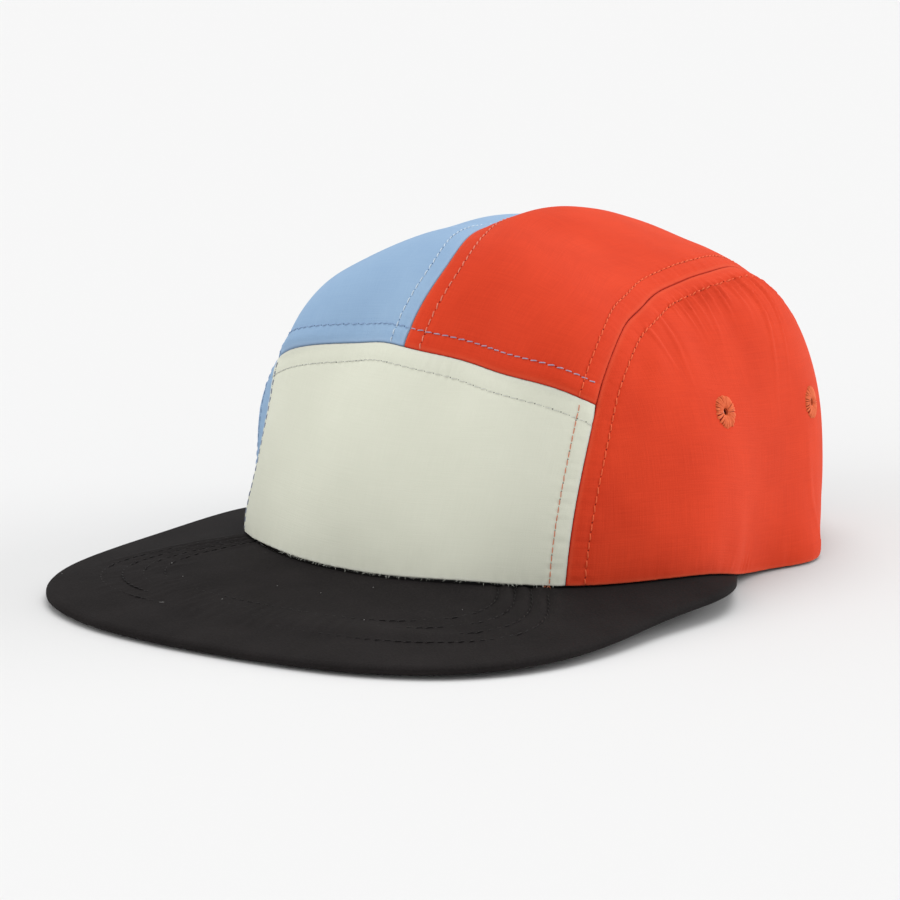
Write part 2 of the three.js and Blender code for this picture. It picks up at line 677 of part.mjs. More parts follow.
// The origin lies under the middle of the cap, on the surface it rests on
const bounds = new THREE.Box3().setFromObject(cap);
cap.position.set(0, -(bounds.min.y + bounds.max.y) / 2, -bounds.min.z);

export default cap;
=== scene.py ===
# A soft cap of five cloth panels with a wide flat visor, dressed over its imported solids.

import math

import bmesh
import bpy
import numpy as np
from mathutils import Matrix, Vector
from mathutils.bvhtree import BVHTree
from mathutils.kdtree import KDTree


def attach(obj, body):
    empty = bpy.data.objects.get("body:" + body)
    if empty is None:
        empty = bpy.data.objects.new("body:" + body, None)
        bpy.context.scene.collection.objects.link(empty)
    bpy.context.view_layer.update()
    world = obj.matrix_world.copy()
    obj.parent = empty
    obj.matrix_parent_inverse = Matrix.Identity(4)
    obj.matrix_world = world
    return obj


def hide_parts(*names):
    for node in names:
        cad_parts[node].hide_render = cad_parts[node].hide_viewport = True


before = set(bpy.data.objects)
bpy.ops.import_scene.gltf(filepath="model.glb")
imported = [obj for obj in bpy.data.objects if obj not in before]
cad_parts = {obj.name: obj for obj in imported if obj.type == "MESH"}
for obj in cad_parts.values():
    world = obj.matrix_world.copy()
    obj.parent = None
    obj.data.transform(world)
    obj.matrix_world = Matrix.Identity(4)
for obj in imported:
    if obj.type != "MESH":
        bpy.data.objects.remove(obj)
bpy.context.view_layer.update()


# The white table
# A seamless white sheet in a white room, lit softly from above, from the front and from behind
# on the right, with the camera low and far off towards the wearer's left side.

bpy.ops.object.select_all(action="DESELECT")
bpy.ops.mesh.primitive_plane_add(size=30.0, location=(0.0, 0.0, -0.0004))
table = bpy.context.active_object
table.name = "table"


def new_finish(name):
    """A new material, and its shader."""
    material = bpy.data.materials.new(name)
    material.use_nodes = True
    return material, material.node_tree.nodes["Principled BSDF"]


def feed(node, sockets):
    """Sets a node's sockets to numbers or colours, or joins them to the outputs of other nodes."""
    for name, value in sockets.items():
        socket = node.inputs[name]
        if isinstance(value, bpy.types.NodeSocket):
            node.id_data.links.new(value, socket)
        else:
            socket.default_value = (*value, 1.0) if socket.type == "RGBA" else value


paper, paper_shader = new_finish("white_paper")
feed(paper_shader, {"Base Color": (0.82, 0.82, 0.82), "Roughness": 0.9, "Specular IOR Level": 0.1})
table.data.materials.append(paper)

camera_turn = math.radians(37.42)
camera_rise = math.radians(12.17)
camera_reach = 1.38024
looked_at = Vector((0.00005, -0.01569, 0.04085))
away = Vector((
    math.sin(camera_turn) * math.cos(camera_rise),
    -math.cos(camera_turn) * math.cos(camera_rise),
    math.sin(camera_rise),
))
camera_data = bpy.data.cameras.new("camera")
camera = bpy.data.objects.new("camera", camera_data)
bpy.context.scene.collection.objects.link(camera)
camera.location = looked_at + away * camera_reach
camera.rotation_euler = away.to_track_quat("Z", "Y").to_euler()
camera_data.sensor_width = 36.0
camera_data.lens = 179.07
camera_data.clip_end = 60.0
bpy.context.scene.camera = camera

studio = bpy.data.worlds.new("studio")
bpy.context.scene.world = studio
studio.use_nodes = True
feed(studio.node_tree.nodes["Background"], {"Color": (1.0, 1.0, 1.0), "Strength": 0.58})
bpy.context.scene.view_settings.view_transform = "Standard"

for lamp_name, lamp_from, lamp_spread, lamp_strength in (
    ("ceiling_light", (-0.12, 0.3, 1.0), 55.0, 1.3),
    ("front_light", (-0.3, -1.0, 0.3), 60.0, 0.68),
    ("right_light", (0.8, 1.0, 0.32), 40.0, 1.35),
):
    lamp_data = bpy.data.lights.new(lamp_name, "SUN")
    lamp_data.angle = math.radians(lamp_spread)
    lamp_data.energy = lamp_strength
    lamp = bpy.data.objects.new(lamp_name, lamp_data)
    bpy.context.scene.collection.objects.link(lamp)
    lamp.location = lamp_from
    lamp.rotation_euler = Vector(lamp_from).to_track_quat("Z", "Y").to_euler()


# The five cloth panels
# Woven cotton cut to shape and sewn edge to edge with the allowances turned inside. Every seam
# is a fine valley between two rolled folds, and the strip beside it is drawn in by its stitches.
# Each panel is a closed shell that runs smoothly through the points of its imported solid.

mm = 0.001
wall = 1.5 * mm
merged_below = 0.01 * mm
sharp_turn = math.radians(38.0)


def packed_rows(node, first_row_lies, first_column_lies):
    """Points of the outer face of a packed panel, row by row, starting at one of its edges."""
    shape = bmesh.new()
    shape.from_mesh(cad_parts[node].data)
    bmesh.ops.remove_doubles(shape, verts=shape.verts, dist=merged_below)
    shape.faces.index_update()
    seen, faces_of = set(), []
    for face in shape.faces:
        if face in seen:
            continue
        seen.add(face)
        group, waiting = [face], [face]
        while waiting:
            for edge in waiting.pop().edges:
                if edge.calc_face_angle(0.0) < sharp_turn:
                    for neighbour in edge.link_faces:
                        if neighbour not in seen:
                            seen.add(neighbour)
                            group.append(neighbour)
                            waiting.append(neighbour)
        faces_of.append(group)
    outer = set(max(faces_of, key=lambda group: sum(face.calc_area() for face in group)))
    beside = {}
    for face in outer:
        for edge in face.edges:
            if sum(near in outer for near in edge.link_faces) == 1:
                beside.setdefault(edge.verts[0], []).append(edge.verts[1])
                beside.setdefault(edge.verts[1], []).append(edge.verts[0])
    loops, walked = [], set()
    for start in beside:
        if start in walked:
            continue
        loop = [start]
        while loop[-1] not in walked:
            walked.add(loop[-1])
            loop.extend([point for point in beside[loop[-1]] if point not in walked][:1])
        loops.append(loop)
    rim = max(loops, key=len)
    around_holes = {point for loop in loops if loop is not rim for point in loop}
    count = len(rim)
    corners = [
        i for i in range(count)
        if (rim[i].co - rim[i - 1].co).angle(rim[(i + 1) % count].co - rim[i].co) > sharp_turn
    ]
    edges = []
    for here, there in zip(corners, corners[1:] + corners[:1]):
        edges.append([rim[(here + i) % count] for i in range((there - here) % count + 1)])
    rows = [min(edges, key=lambda edge: first_row_lies(np.mean([p.co for p in edge], axis=0)))]
    used = set(rows[0]) | around_holes
    while True:
        near = {
            edge.other_vert(point) for point in rows[-1] for edge in point.link_edges
            if any(face in outer for face in edge.link_faces)
        } - used
        if not near:
            break
        row = [point for point in beside[rows[-1][0]] if point in near][:1]
        while True:
            further = [edge.other_vert(row[-1]) for edge in row[-1].link_edges]
            further = [point for point in further if point in near and point not in row]
            if not further:
                break
            row.append(further[0])
        rows.append(row)
        used |= set(row)
    places = np.array([[tuple(point.co) for point in row] for row in rows])
    shape.free()
    if first_column_lies(places[:, -1].mean(0)) < first_column_lies(places[:, 0].mean(0)):
        places = places[:, ::-1]
    return places


def spline_weights(count, places):
    """Weights that carry evenly spaced values to a smooth curve's values at the given places."""
    bend = np.zeros((count, count))
    pull = np.zeros((count, count))
    for i in range(1, count - 1):
        bend[i, i - 1:i + 2] = (1, 4, 1)
        pull[i, i - 1:i + 2] = (6, -12, 6)
    bend[0, :3] = (1, -2, 1)
    bend[-1, -3:] = (1, -2, 1)
    curvature = np.linalg.solve(bend, pull)
    low = np.clip(np.floor(places).astype(int), 0, count - 2)
    b = places - low
    a = 1 - b
    eye = np.eye(count)
    return (
        a[:, None] * eye[low] + b[:, None] * eye[low + 1]
        + ((a ** 3 - a)[:, None] * curvature[low] + (b ** 3 - b)[:, None] * curvature[low + 1]) / 6
    )


def unit(ways):
    """The same directions at length 1."""
    return ways / np.linalg.norm(ways, axis=-1, keepdims=True)


def run_along(line):
    """How far along a line each of its points lies."""
    return np.concatenate([[0], np.cumsum(np.linalg.norm(np.diff(line, axis=0), axis=1))])


def soften(line, times):
    """Evens out a line of points or directions between its two ends."""
    for _ in range(times):
        line[1:-1] = (line[:-2] + 2 * line[1:-1] + line[2:]) / 4


def bell(value, width):
    """1 at zero, falling off smoothly on both sides."""
    return np.exp(-(value / width) ** 2)


def rise_between(value, start, end):
    """0 up to the start and 1 from the end on, with a smooth rise between them."""
    share = np.clip((value - start) / (end - start), 0, 1)
    return share * share * (3 - 2 * share)


# Places close to both ends of a row, in packed cells, and how far they reach
close_places = np.array((0.015, 0.035, 0.06, 0.09))
close_zone = 0.11
# How many packed columns beside a sharp corner of a panel's edge keep its turn
kink_columns = 3.0
# In fine steps from a panel's corner: the patch that gives it its normal, and where that fades
patch_from, patch_to, patch_fade = 12, 16, (6, 15)
crown_middle = np.array((0.0, 0.005, 0.02))


def fine_places(cells, parts):
    """Places along evenly spaced points, with extra ones close to both ends."""
    inside = np.arange(cells * parts + 1) / parts
    clear = (inside > close_zone) & (inside < cells - close_zone)
    kept = inside[(inside == 0) | (inside == cells) | clear]
    return np.sort(np.concatenate([kept, close_places, cells - close_places]))


def fine_surface(rows, parts_up, parts_along):
    """A smooth, closely spaced surface through the rows of points, with its corner kept sharp."""
    high, wide = rows.shape[0], rows.shape[1]
    up = fine_places(high - 1, parts_up)
    along = fine_places(wide - 1, parts_along)
    across = np.einsum("fc,rcx->rfx", spline_weights(wide, along), rows)
    smooth = np.einsum("gr,rfx->gfx", spline_weights(high, up), across)
    steps = unit(np.diff(rows[:, 0], axis=0))
    turns = np.arccos(np.clip((steps[1:] * steps[:-1]).sum(1), -1, 1))
    if turns.max() <= sharp_turn:
        return smooth, None
    kink = int(turns.argmax()) + 1
    before, after = up[up < kink], up[up >= kink]
    split = np.concatenate([
        np.einsum("gr,rfx->gfx", spline_weights(kink + 1, before), across[:kink + 1]),
        np.einsum("gr,rfx->gfx", spline_weights(high - kink, after - kink), across[kink:]),
    ])
    share = (1 - rise_between(along, 0, kink_columns))[None, :, None]
    return smooth * (1 - share) + split * share, int(np.searchsorted(up, kink))


def surface_normals(points):
    """Unit normals of a grid of points, facing out of the crown."""
    normals = unit(np.cross(np.gradient(points, axis=1), np.gradient(points, axis=0)))
    # The two directions of a grid run together at its corners, so they take the normal further in
    rows, columns = np.indices(normals.shape[:2])
    for row in (0, normals.shape[0] - 1):
        for column in (0, normals.shape[1] - 1):
            up, along = np.abs(rows - row), np.abs(columns - column)
            patch = np.minimum(up, along) >= patch_from
            inner = normals[patch & (np.maximum(up, along) <= patch_to)].mean(0)
            share = (1 - rise_between(np.hypot(up, along), *patch_fade))[:, :, None]
            normals = normals * (1 - share) + inner * share
    normals = unit(normals)
    return normals * np.sign((normals * (points - crown_middle)).sum())


def measure(points, line):
    """Distance in mm from each point to a line, how far along it that is, and its nearest spot."""
    flat, line, batch = points.reshape(-1, 3) / mm, line / mm, 4000
    spot = np.concatenate([
        ((line ** 2).sum(1)[None] - 2 * flat[start:start + batch] @ line.T).argmin(1)
        for start in range(0, len(flat), batch)
    ])
    near = np.linalg.norm(flat - line[spot], axis=1)
    return tuple(found.reshape(points.shape[:2]) for found in (near, run_along(line)[spot], spot))


def uneven(along, lengths, seed):
    """A smooth irregular wave between about -1 and 1, made of waves of the given lengths in mm."""
    drift, drift_length = 1.4, 4.3
    chance = np.random.default_rng(seed)
    total = 0
    for length in lengths:
        shift, sway = chance.uniform(0, 2 * math.pi, 2)
        wobble = drift * np.sin(2 * math.pi * along / (length * drift_length) + sway)
        total = total + np.sin(2 * math.pi * along / length + shift + wobble)
    return total / len(lengths)


def fade_from(points, place, reach):
    """1 at a place in mm, falling off smoothly around it."""
    return bell(np.linalg.norm(points / mm - np.array(place, dtype=float), axis=2), reach)


# Each panel: its colour, the side from which its rows are counted and the one for its columns,
# and into how many parts its packed cells are divided, up and along
panel_makes = {
    "front_panel": ("off_white_cloth", "z", "x", (11, 12)),
    "top_panel_left": ("orange_red_cloth", "y", "x", (13, 11)),
    "top_panel_right": ("light_blue_cloth", "y", "-x", (13, 11)),
    "side_panel_left": ("orange_red_cloth", "z", "y", (14, 13)),
    "side_panel_right": ("light_blue_cloth", "z", "y", (14, 13)),
}
lies = {
    "x": lambda point: point[0],
    "-x": lambda point: -point[0],
    "y": lambda point: point[1],
    "z": lambda point: point[2],
}

# Distance of the stitch row beside each kind of edge, in mm
row_insets = {
    "top": 6.0, "left": 5.2, "right": 5.2, "front": 6.0,
    "centre": 5.6, "side": 6.0, "seam": 5.8, "arch": 5.0,
}

# Where the cloth of this cap has slumped, puffed out or drifted: place, move and reach in mm
slumps = [
    ((-61, -40, 14), (-2.7, -0.3, 0), 14),
    ((71, 70, 2), (4.4, -1.5, 0), 17),
    ((-61, -24, 62), (-1.9, -0.6, 0), 10),
    ((76, -4, 38), (-1.3, 0, 0), 22),
    ((0, 26, 106), (-6.5, 0, 0.3), 32),
    ((0, -19, 100), (2.6, 0, -0.6), 16),
    ((50, 29, 89), (-1.7, 0, 1.5), 22),
    ((-50, 29, 89), (1.7, 0, 1.1), 22),
    ((50, 80, 80), (0.7, 0.9, 0.9), 28),
    ((67, 77, 0), (3.6, -0.3, 0), 12),
    ((-36, -35, 71), (0, 0.5, 1.5), 20),
    ((-6, -38, 75), (0, 0.5, 1.2), 12),
    ((50, -31, 68), (0, 0.5, 1.5), 17),
]

# Fullness of single panels: panel, place, reach and height in mm, and the margin along the edges
# in which it fades
puffs = [
    ("side_panel_right", (-64, -20, 47), 15, 3.0),
    ("top_panel_left", (8, 22, 106), 26, 0.7),
    ("top_panel_right", (-17, 26, 105), 18, -1.6),
    ("top_panel_right", (-50, -5, 90), 26, -1.3),
]
puff_margin = 7.0

# Gathers that run down from the long seam of a side panel: place as a share of its upper part,
# reach and half width in mm, lean in mm per mm, and height in mm; then how far in they start
gathers = [
    (0.175, 13.2, 1.28, -0.3, 0.45),
    (0.215, 16.2, 1.04, -0.41, 0.43),
    (0.262, 4.8, 0.72, -0.35, 0.57),
    (0.283, 8.9, 0.8, -0.27, 0.7),
    (0.305, 9.6, 0.72, -0.33, 0.84),
    (0.322, 9, 0.64, -0.25, 0.7),
    (0.343, 10.8, 0.88, -0.36, 1.08),
    (0.362, 8.2, 0.64, -0.3, 0.8),
    (0.381, 10.2, 0.8, -0.22, 1.02),
    (0.397, 8.2, 0.62, -0.33, 0.68),
    (0.415, 10.3, 0.8, -0.15, 1.02),
    (0.436, 8.9, 0.64, -0.26, 0.8),
    (0.452, 22.8, 0.96, -0.2, 1.08),
    (0.476, 11.8, 0.72, -0.12, 0.8),
    (0.497, 22.8, 0.88, -0.23, 0.96),
    (0.521, 8.9, 0.72, -0.05, 0.68),
    (0.545, 10.2, 0.96, -0.16, 0.74),
    (0.580, 10.8, 0.88, -0.1, 0.57),
    (0.630, 7.6, 1.12, -0.02, 0.45),
]
gathers_start = 4.4

# Upright folds at the hem of a side panel, in the same columns, and how far in they start
hem_folds = [
    (0.452, 3.5, 0.8, 0.15, 0.4),
    (0.474, 4.5, 0.8, 0.1, 0.5),
    (0.494, 3, 0.7, 0.0, 0.35),
    (0.385, 6, 1.6, 0.2, 0.14),
    (0.610, 7, 1.8, 0.05, 0.18),
    (0.740, 32, 2.4, 0.02, 0.4),
    (0.850, 20, 2.8, 0.03, 0.2),
    (0.200, 12, 3.0, 0.1, 0.1),
]
hem_folds_start = 1.0

# Beside each fold lies a shallower valley: its share of the height, and its place in half widths
valley_share, valley_place = 0.55, 1.5


def creases(distance, place, length, folds, start):
    """Height of narrow folds that begin a little way in from an edge and fade inwards."""
    height = 0
    for share, reach, half, lean, rise in folds:
        offset = (place - share * length - lean * (distance - start)) / half
        fade = rise_between(distance, start - 2.0, start + 2.5)
        fade = fade * bell(np.maximum(distance - start, 0), reach)
        valley = valley_share * bell(offset - valley_place, 1)
        height = height + rise * fade * (bell(offset, 1) - valley)
    return height


def new_piece(name, points, faces):
    """A new object with a mesh of these points and faces."""
    shape = bpy.data.meshes.new(name)
    shape.from_pydata(np.array(points).tolist(), [], faces)
    piece = bpy.data.objects.new(name, shape)
    bpy.context.scene.collection.objects.link(piece)
    return piece


def edit_all(piece):
    """Opens a piece alone in edit mode, selected all over."""
    bpy.ops.object.select_all(action="DESELECT")
    piece.select_set(True)
    bpy.context.view_layer.objects.active = piece
    bpy.ops.object.mode_set(mode="EDIT")
    bpy.ops.mesh.select_all(action="SELECT")


def face_outwards(piece):
    """Turns the faces of a closed piece outwards."""
    edit_all(piece)
    bpy.ops.mesh.normals_make_consistent(inside=False)
    bpy.ops.object.mode_set(mode="OBJECT")


# Every so many fine points the inner face has one, and sharper turns than this stay an edge
inner_step = 4
edge_kept_from = math.radians(55.0)
# How far wear spreads from the edges of a panel, in mm
worn_reach = 0.9


def closed_cloth(name, made, outer, painted_seam_shade):
    """A closed shell: a fine outer face, a coarser inner one, and a wall all round between them."""
    high, wide = outer.shape[:2]
    kink = {made["kink"]} if made["kink"] else set()
    row_picks = sorted(set(range(0, high, inner_step)) | {high - 1} | kink)
    column_picks = sorted(set(range(0, wide, inner_step)) | {wide - 1})
    picks = np.ix_(row_picks, column_picks)
    inner = (made["ground"] - made["normals"] * wall)[picks]
    outer_at = np.arange(high * wide).reshape(high, wide)
    inner_at = high * wide + np.arange(inner.shape[0] * inner.shape[1]).reshape(inner.shape[:2])
    faces = []
    for at, way in ((outer_at, 1), (inner_at, -1)):
        quads = np.stack([at[:-1, :-1], at[:-1, 1:], at[1:, 1:], at[1:, :-1]], axis=-1)
        faces += [tuple(face[::way]) for face in quads.reshape(-1, 4).tolist()]
    for outside, inside, places in (
        (outer_at[0], inner_at[0], column_picks), (outer_at[-1], inner_at[-1], column_picks),
        (outer_at[:, 0], inner_at[:, 0], row_picks), (outer_at[:, -1], inner_at[:, -1], row_picks),
    ):
        for i in range(len(places) - 1):
            run = outside[places[i]:places[i + 1] + 1].tolist()
            faces.append(tuple(run + [int(inside[i + 1]), int(inside[i])]))
    points = np.concatenate([outer.reshape(-1, 3), inner.reshape(-1, 3)])
    piece = new_piece(name, points, faces)
    flat = np.stack([made["across"], made["up"]], axis=-1)
    flat = np.concatenate([flat.reshape(-1, 2), flat[picks].reshape(-1, 2)])
    corner_of = np.empty(len(piece.data.loops), dtype=np.int32)
    piece.data.loops.foreach_get("vertex_index", corner_of)
    cloth_map = piece.data.uv_layers.new(name="cloth")
    cloth_map.data.foreach_set("uv", flat[corner_of].astype(np.float32).ravel())
    edge_shade = bell(made["nearest"], worn_reach)
    # edge_shade marks the wear along the edges, the second attribute the painted shade in the seam
    # valleys
    for attribute, values in (("edge_shade", edge_shade), ("painted_seam_shade", painted_seam_shade)):
        shades = np.concatenate([values.ravel(), np.zeros(inner_at.size)])
        shade = piece.data.attributes.new(attribute, "FLOAT", "POINT")
        shade.data.foreach_set("value", shades.astype(np.float32))
    face_outwards(piece)
    bpy.ops.object.shade_smooth_by_angle(angle=edge_kept_from)
    return piece


# Relief in mm: the full strip beside a seam, the dents and half width of its stitch row with the
# spacing of its stitches, the puckers between them, the waves of a free edge and of the cut edge
# at the visor, and the drape of the whole panel
strip_rise, row_dent, row_half, stitch_pitch = 0.16, 0.20, 0.8, 2.75
pucker_rise, free_edge_rise, cut_edge_rise, drape_rise = 0.09, 0.10, 0.16, 0.16
# The rolled fold at every edge: its radius, how uneven it is, and how far it turns in
fold_roll, roll_change, roll_depth = 0.55, 0.16, 1.3

# First every panel gets its shape, then the edges that are sewn together are brought to meet
panels = {}
for seed, (node, (slot, rows_from, columns_from, parts)) in enumerate(panel_makes.items()):
    rows = packed_rows(node, lies[rows_from], lies[columns_from])
    smooth, kink = fine_surface(rows, *parts)
    ground = smooth.copy()
    for place, move, reach in slumps:
        ground += fade_from(smooth, place, reach)[:, :, None] * np.array(move) * mm
    normals = surface_normals(ground)
    numbers = np.arange(ground.shape[0] * ground.shape[1]).reshape(ground.shape[:2])
    first, last, left, right = numbers[0], numbers[-1], numbers[:, 0], numbers[:, -1]
    if node == "front_panel":
        lines = {"hem": first, "top": last, "left": left, "right": right}
    elif node.startswith("top"):
        lines = {
            "front": first, "hem": last, "side": right,
            "centre": left[:kink + 1], "arch": left[kink:],
        }
    else:
        lines = {"hem": first, "seam": np.concatenate([left, last[1:], right[-2::-1]])}
    flat = ground.reshape(-1, 3)
    relief = np.zeros(ground.shape[:2])
    nearest = np.full(ground.shape[:2], 99.0)
    measured = {}
    for order, (side, line) in enumerate(lines.items()):
        distance, place, spot = measure(ground, flat[line])
        measured[side] = (distance, spot)
        length = place.max()
        nearest = np.minimum(nearest, distance)
        number = seed * 10 + order
        inset = row_insets.get(side)
        if inset:
            strip = rise_between(distance, 0.4, inset * 0.5)
            relief += strip_rise * strip * (1 - rise_between(distance, inset * 0.55, inset * 1.05))
            stitched = 0.75 + 0.25 * np.cos(2 * math.pi * place / stitch_pitch)
            relief -= row_dent * bell(distance - inset, row_half) * stitched
            pucker = 1 - rise_between(distance, inset - 0.5, inset + 4.5)
            pucker = pucker * rise_between(distance, 0.2, 2.2)
            relief += pucker_rise * pucker * uneven(place, (2.9, 4.7, 7.1), number)
        else:
            free = 1 - rise_between(distance, 1.0, 7.0)
            relief += free_edge_rise * free * uneven(place, (4.3, 9.0, 17.0), number)
        if node == "front_panel" and side == "hem":
            cut = 1 - rise_between(distance, 0.4, 3.4)
            relief += cut_edge_rise * cut * uneven(place, (1.9, 3.1, 5.3), number + 3)
        if side == "seam":
            lower = run_along(flat[left])[-1] / mm
            relief += creases(distance, place - lower, length - lower, gathers, gathers_start)
        if side == "hem" and node.startswith("side"):
            relief += creases(distance, place, length, hem_folds, hem_folds_start)
        roll = fold_roll * (1 + roll_change * uneven(place, (2.8, 5.1), number + 5))
        inward = np.clip(roll - distance, 0, None)
        relief -= roll_depth * (roll - np.sqrt(np.maximum(roll ** 2 - inward ** 2, 0)))
    for panel, place, reach, rise in puffs:
        if panel == node:
            full = rise_between(nearest, 0.0, puff_margin)
            relief += rise * fade_from(ground, place, reach) * full
    steps_along = np.linalg.norm(np.diff(ground, axis=1), axis=2)
    steps_up = np.linalg.norm(np.diff(ground, axis=0), axis=2)
    across = np.pad(np.cumsum(steps_along, axis=1), ((0, 0), (1, 0)))
    across -= across[:, across.shape[1] // 2][:, None]
    up = np.pad(np.cumsum(steps_up, axis=0), ((1, 0), (0, 0)))
    drape = uneven(across / mm + 0.4 * up / mm, (31.0, 47.0), seed + 70)
    drape = drape * uneven(up / mm, (27.0, 43.0), seed + 80)
    relief += drape_rise * drape * rise_between(nearest, 6.0, 16.0)
    panels[node] = {
        "slot": slot, "ground": ground, "normals": normals, "kink": kink,
        "across": across, "up": up, "nearest": nearest, "measured": measured,
        "outer": ground + normals * (relief * mm)[:, :, None],
        "lines": {side: flat[line] for side, line in lines.items()},
        "edges": {
            side: line for side, line in lines.items() if row_insets.get(side) and side != "arch"
        },
    }

# Strength of the painted shade in each seam's valley, weaker where tight seams show less of it, and
# its half width in mm
painted_seam_shade_depths = {"centre": 0.3, "top": 0.6, "front": 0.75}
painted_seam_shade_half = 0.42
# Edges closer than this are sewn together: each goes this share of the way, and the cloth beside
# it follows over this many mm
sewn_within, sewn_share, sewn_reach = 3.0 * mm, 0.48, 2.2
sewn_edges = {
    node: np.concatenate([made["outer"].reshape(-1, 3)[edge] for edge in made["edges"].values()])
    for node, made in panels.items()
}
for node, made in panels.items():
    others = np.concatenate([edge for other, edge in sewn_edges.items() if other != node])
    partners = KDTree(len(others))
    for number, spot in enumerate(others):
        partners.insert(spot, number)
    partners.balance()
    pull = np.zeros(made["outer"].shape)
    painted_seam_shade = np.zeros(made["outer"].shape[:2])
    for side, edge in made["edges"].items():
        meet = []
        for point in made["outer"].reshape(-1, 3)[edge]:
            partner, _, gap = partners.find(point)
            meet.append((np.array(partner) - point) * (sewn_share if gap < sewn_within else 0.0))
        meet = np.array(meet)
        soften(meet, 6)
        distance, spot = made["measured"][side]
        # Painted shade: the seam's valley is coloured darker, fading out across the seam
        shade = painted_seam_shade_depths.get(side, 1.0) * bell(distance, painted_seam_shade_half)
        painted_seam_shade = np.maximum(painted_seam_shade, shade)
        pull += (1 - rise_between(distance, 0.0, sewn_reach))[:, :, None] * meet[spot]
    made["piece"] = closed_cloth(node + "_cloth", made, made["outer"] + pull, painted_seam_shade)


# Woven cotton
# A plain poplin weave of fine yarns: each yarn is a little uneven, so faint lines run along and
# across the cloth, and the dye is a little paler on the raised yarns and along worn edges.

# On the cloth's map in metres: the pace of the yarns, of the lines along and across, of the
# paler patches and of the fuzz
yarn_pace, line_long, line_fine, patch_pace, fuzz_pace = 15000.0, 70.0, 2600.0, 42.0, 5200.0
bump_depth = 0.0001
cotton_roughness, cotton_gloss, sheen_roughness = 0.85, 0.16, 0.45
# How far the seam valleys go over to their painted shade colour
painted_seam_shade_strength = 0.85


def add_node(tree, kind, sockets, **settings):
    """A shader node with its settings made, and its sockets set or joined."""
    node = tree.nodes.new("ShaderNode" + kind)
    for key, value in settings.items():
        setattr(node, key, value)
    feed(node, sockets)
    return node


def maths(tree, operation, *values):
    """What comes out of a math node for sockets or numbers."""
    return add_node(tree, "Math", dict(enumerate(values)), operation=operation).outputs[0]


def blended(tree, factor, first, second):
    """A colour between two others."""
    sockets = {"Factor": factor, "A": first, "B": second}
    return add_node(tree, "Mix", sockets, data_type="RGBA").outputs["Result"]


def stretched_noise(tree, source, scale, detail):
    """Noise on a map, stretched by a scale for each direction."""
    spread = add_node(tree, "Mapping", {"Vector": source, "Scale": scale}).outputs[0]
    sockets = {"Vector": spread, "Scale": 1.0, "Detail": detail}
    return add_node(tree, "TexNoise", sockets).outputs["Fac"]


def waves(tree, way, pace):
    """A sine wave along one direction."""
    return maths(tree, "SINE", maths(tree, "MULTIPLY", way, pace))


def rough_finish(shader, colour, height, bump, roughness, gloss):
    """Joins a colour and a height to a shader, and sets how it shines."""
    sockets = {"Strength": bump, "Distance": bump_depth, "Height": height}
    relief = add_node(shader.id_data, "Bump", sockets)
    feed(shader, {
        "Base Color": colour, "Normal": relief.outputs[0],
        "Roughness": roughness, "Specular IOR Level": gloss,
    })


def make_weave_group():
    """Colour and height of the weave, from the map and the dyes of a cloth."""
    group = bpy.data.node_groups.new("woven_cotton", "ShaderNodeTree")
    for name, way, kind in (
        ("Cloth Map", "INPUT", "Vector"), ("Dye", "INPUT", "Color"), ("Worn Dye", "INPUT", "Color"),
        ("Deep Dye", "INPUT", "Color"), ("Edge", "INPUT", "Float"),
        ("Color", "OUTPUT", "Color"), ("Height", "OUTPUT", "Float"),
    ):
        group.interface.new_socket(name, in_out=way, socket_type="NodeSocket" + kind)
    given = group.nodes.new("NodeGroupInput").outputs
    flat = given["Cloth Map"]
    along = stretched_noise(group, flat, (line_long, line_fine, 1.0), 2.0)
    across = stretched_noise(group, flat, (line_fine, line_long, 1.0), 2.0)
    patches = stretched_noise(group, flat, (patch_pace, patch_pace, 1.0), 3.0)
    fuzz = stretched_noise(group, flat, (fuzz_pace, fuzz_pace, 1.0), 1.0)
    lines = maths(group, "SUBTRACT", maths(group, "ADD", along, across), 1.0)
    ways = add_node(group, "SeparateXYZ", {0: flat}).outputs
    warp, weft = (waves(group, ways[way], yarn_pace) for way in "XY")
    weave = maths(group, "MULTIPLY", warp, weft)
    slubs = add_node(group, "MapRange", {"Value": lines, "From Min": -0.55, "From Max": 0.55})

    def added(*shares):
        """The sum of several sockets, each times its share."""
        total = 0.0
        for socket, share in shares:
            total = maths(group, "ADD", total, maths(group, "MULTIPLY", socket, share))
        return total

    tone = added((slubs.outputs[0], 0.4), (patches, 0.7), (weave, 0.05))
    tone = maths(group, "MULTIPLY", tone, 1.15)
    wear = maths(group, "MULTIPLY", given["Edge"], maths(group, "MULTIPLY", fuzz, 0.9))
    dyed = blended(group, tone, given["Deep Dye"], given["Dye"])
    feed(group.nodes.new("NodeGroupOutput"), {
        "Color": blended(group, wear, dyed, given["Worn Dye"]),
        "Height": added((weave, 0.35), (lines, 1.0), (fuzz, 0.3)),
    })
    return group


weave_group = make_weave_group()


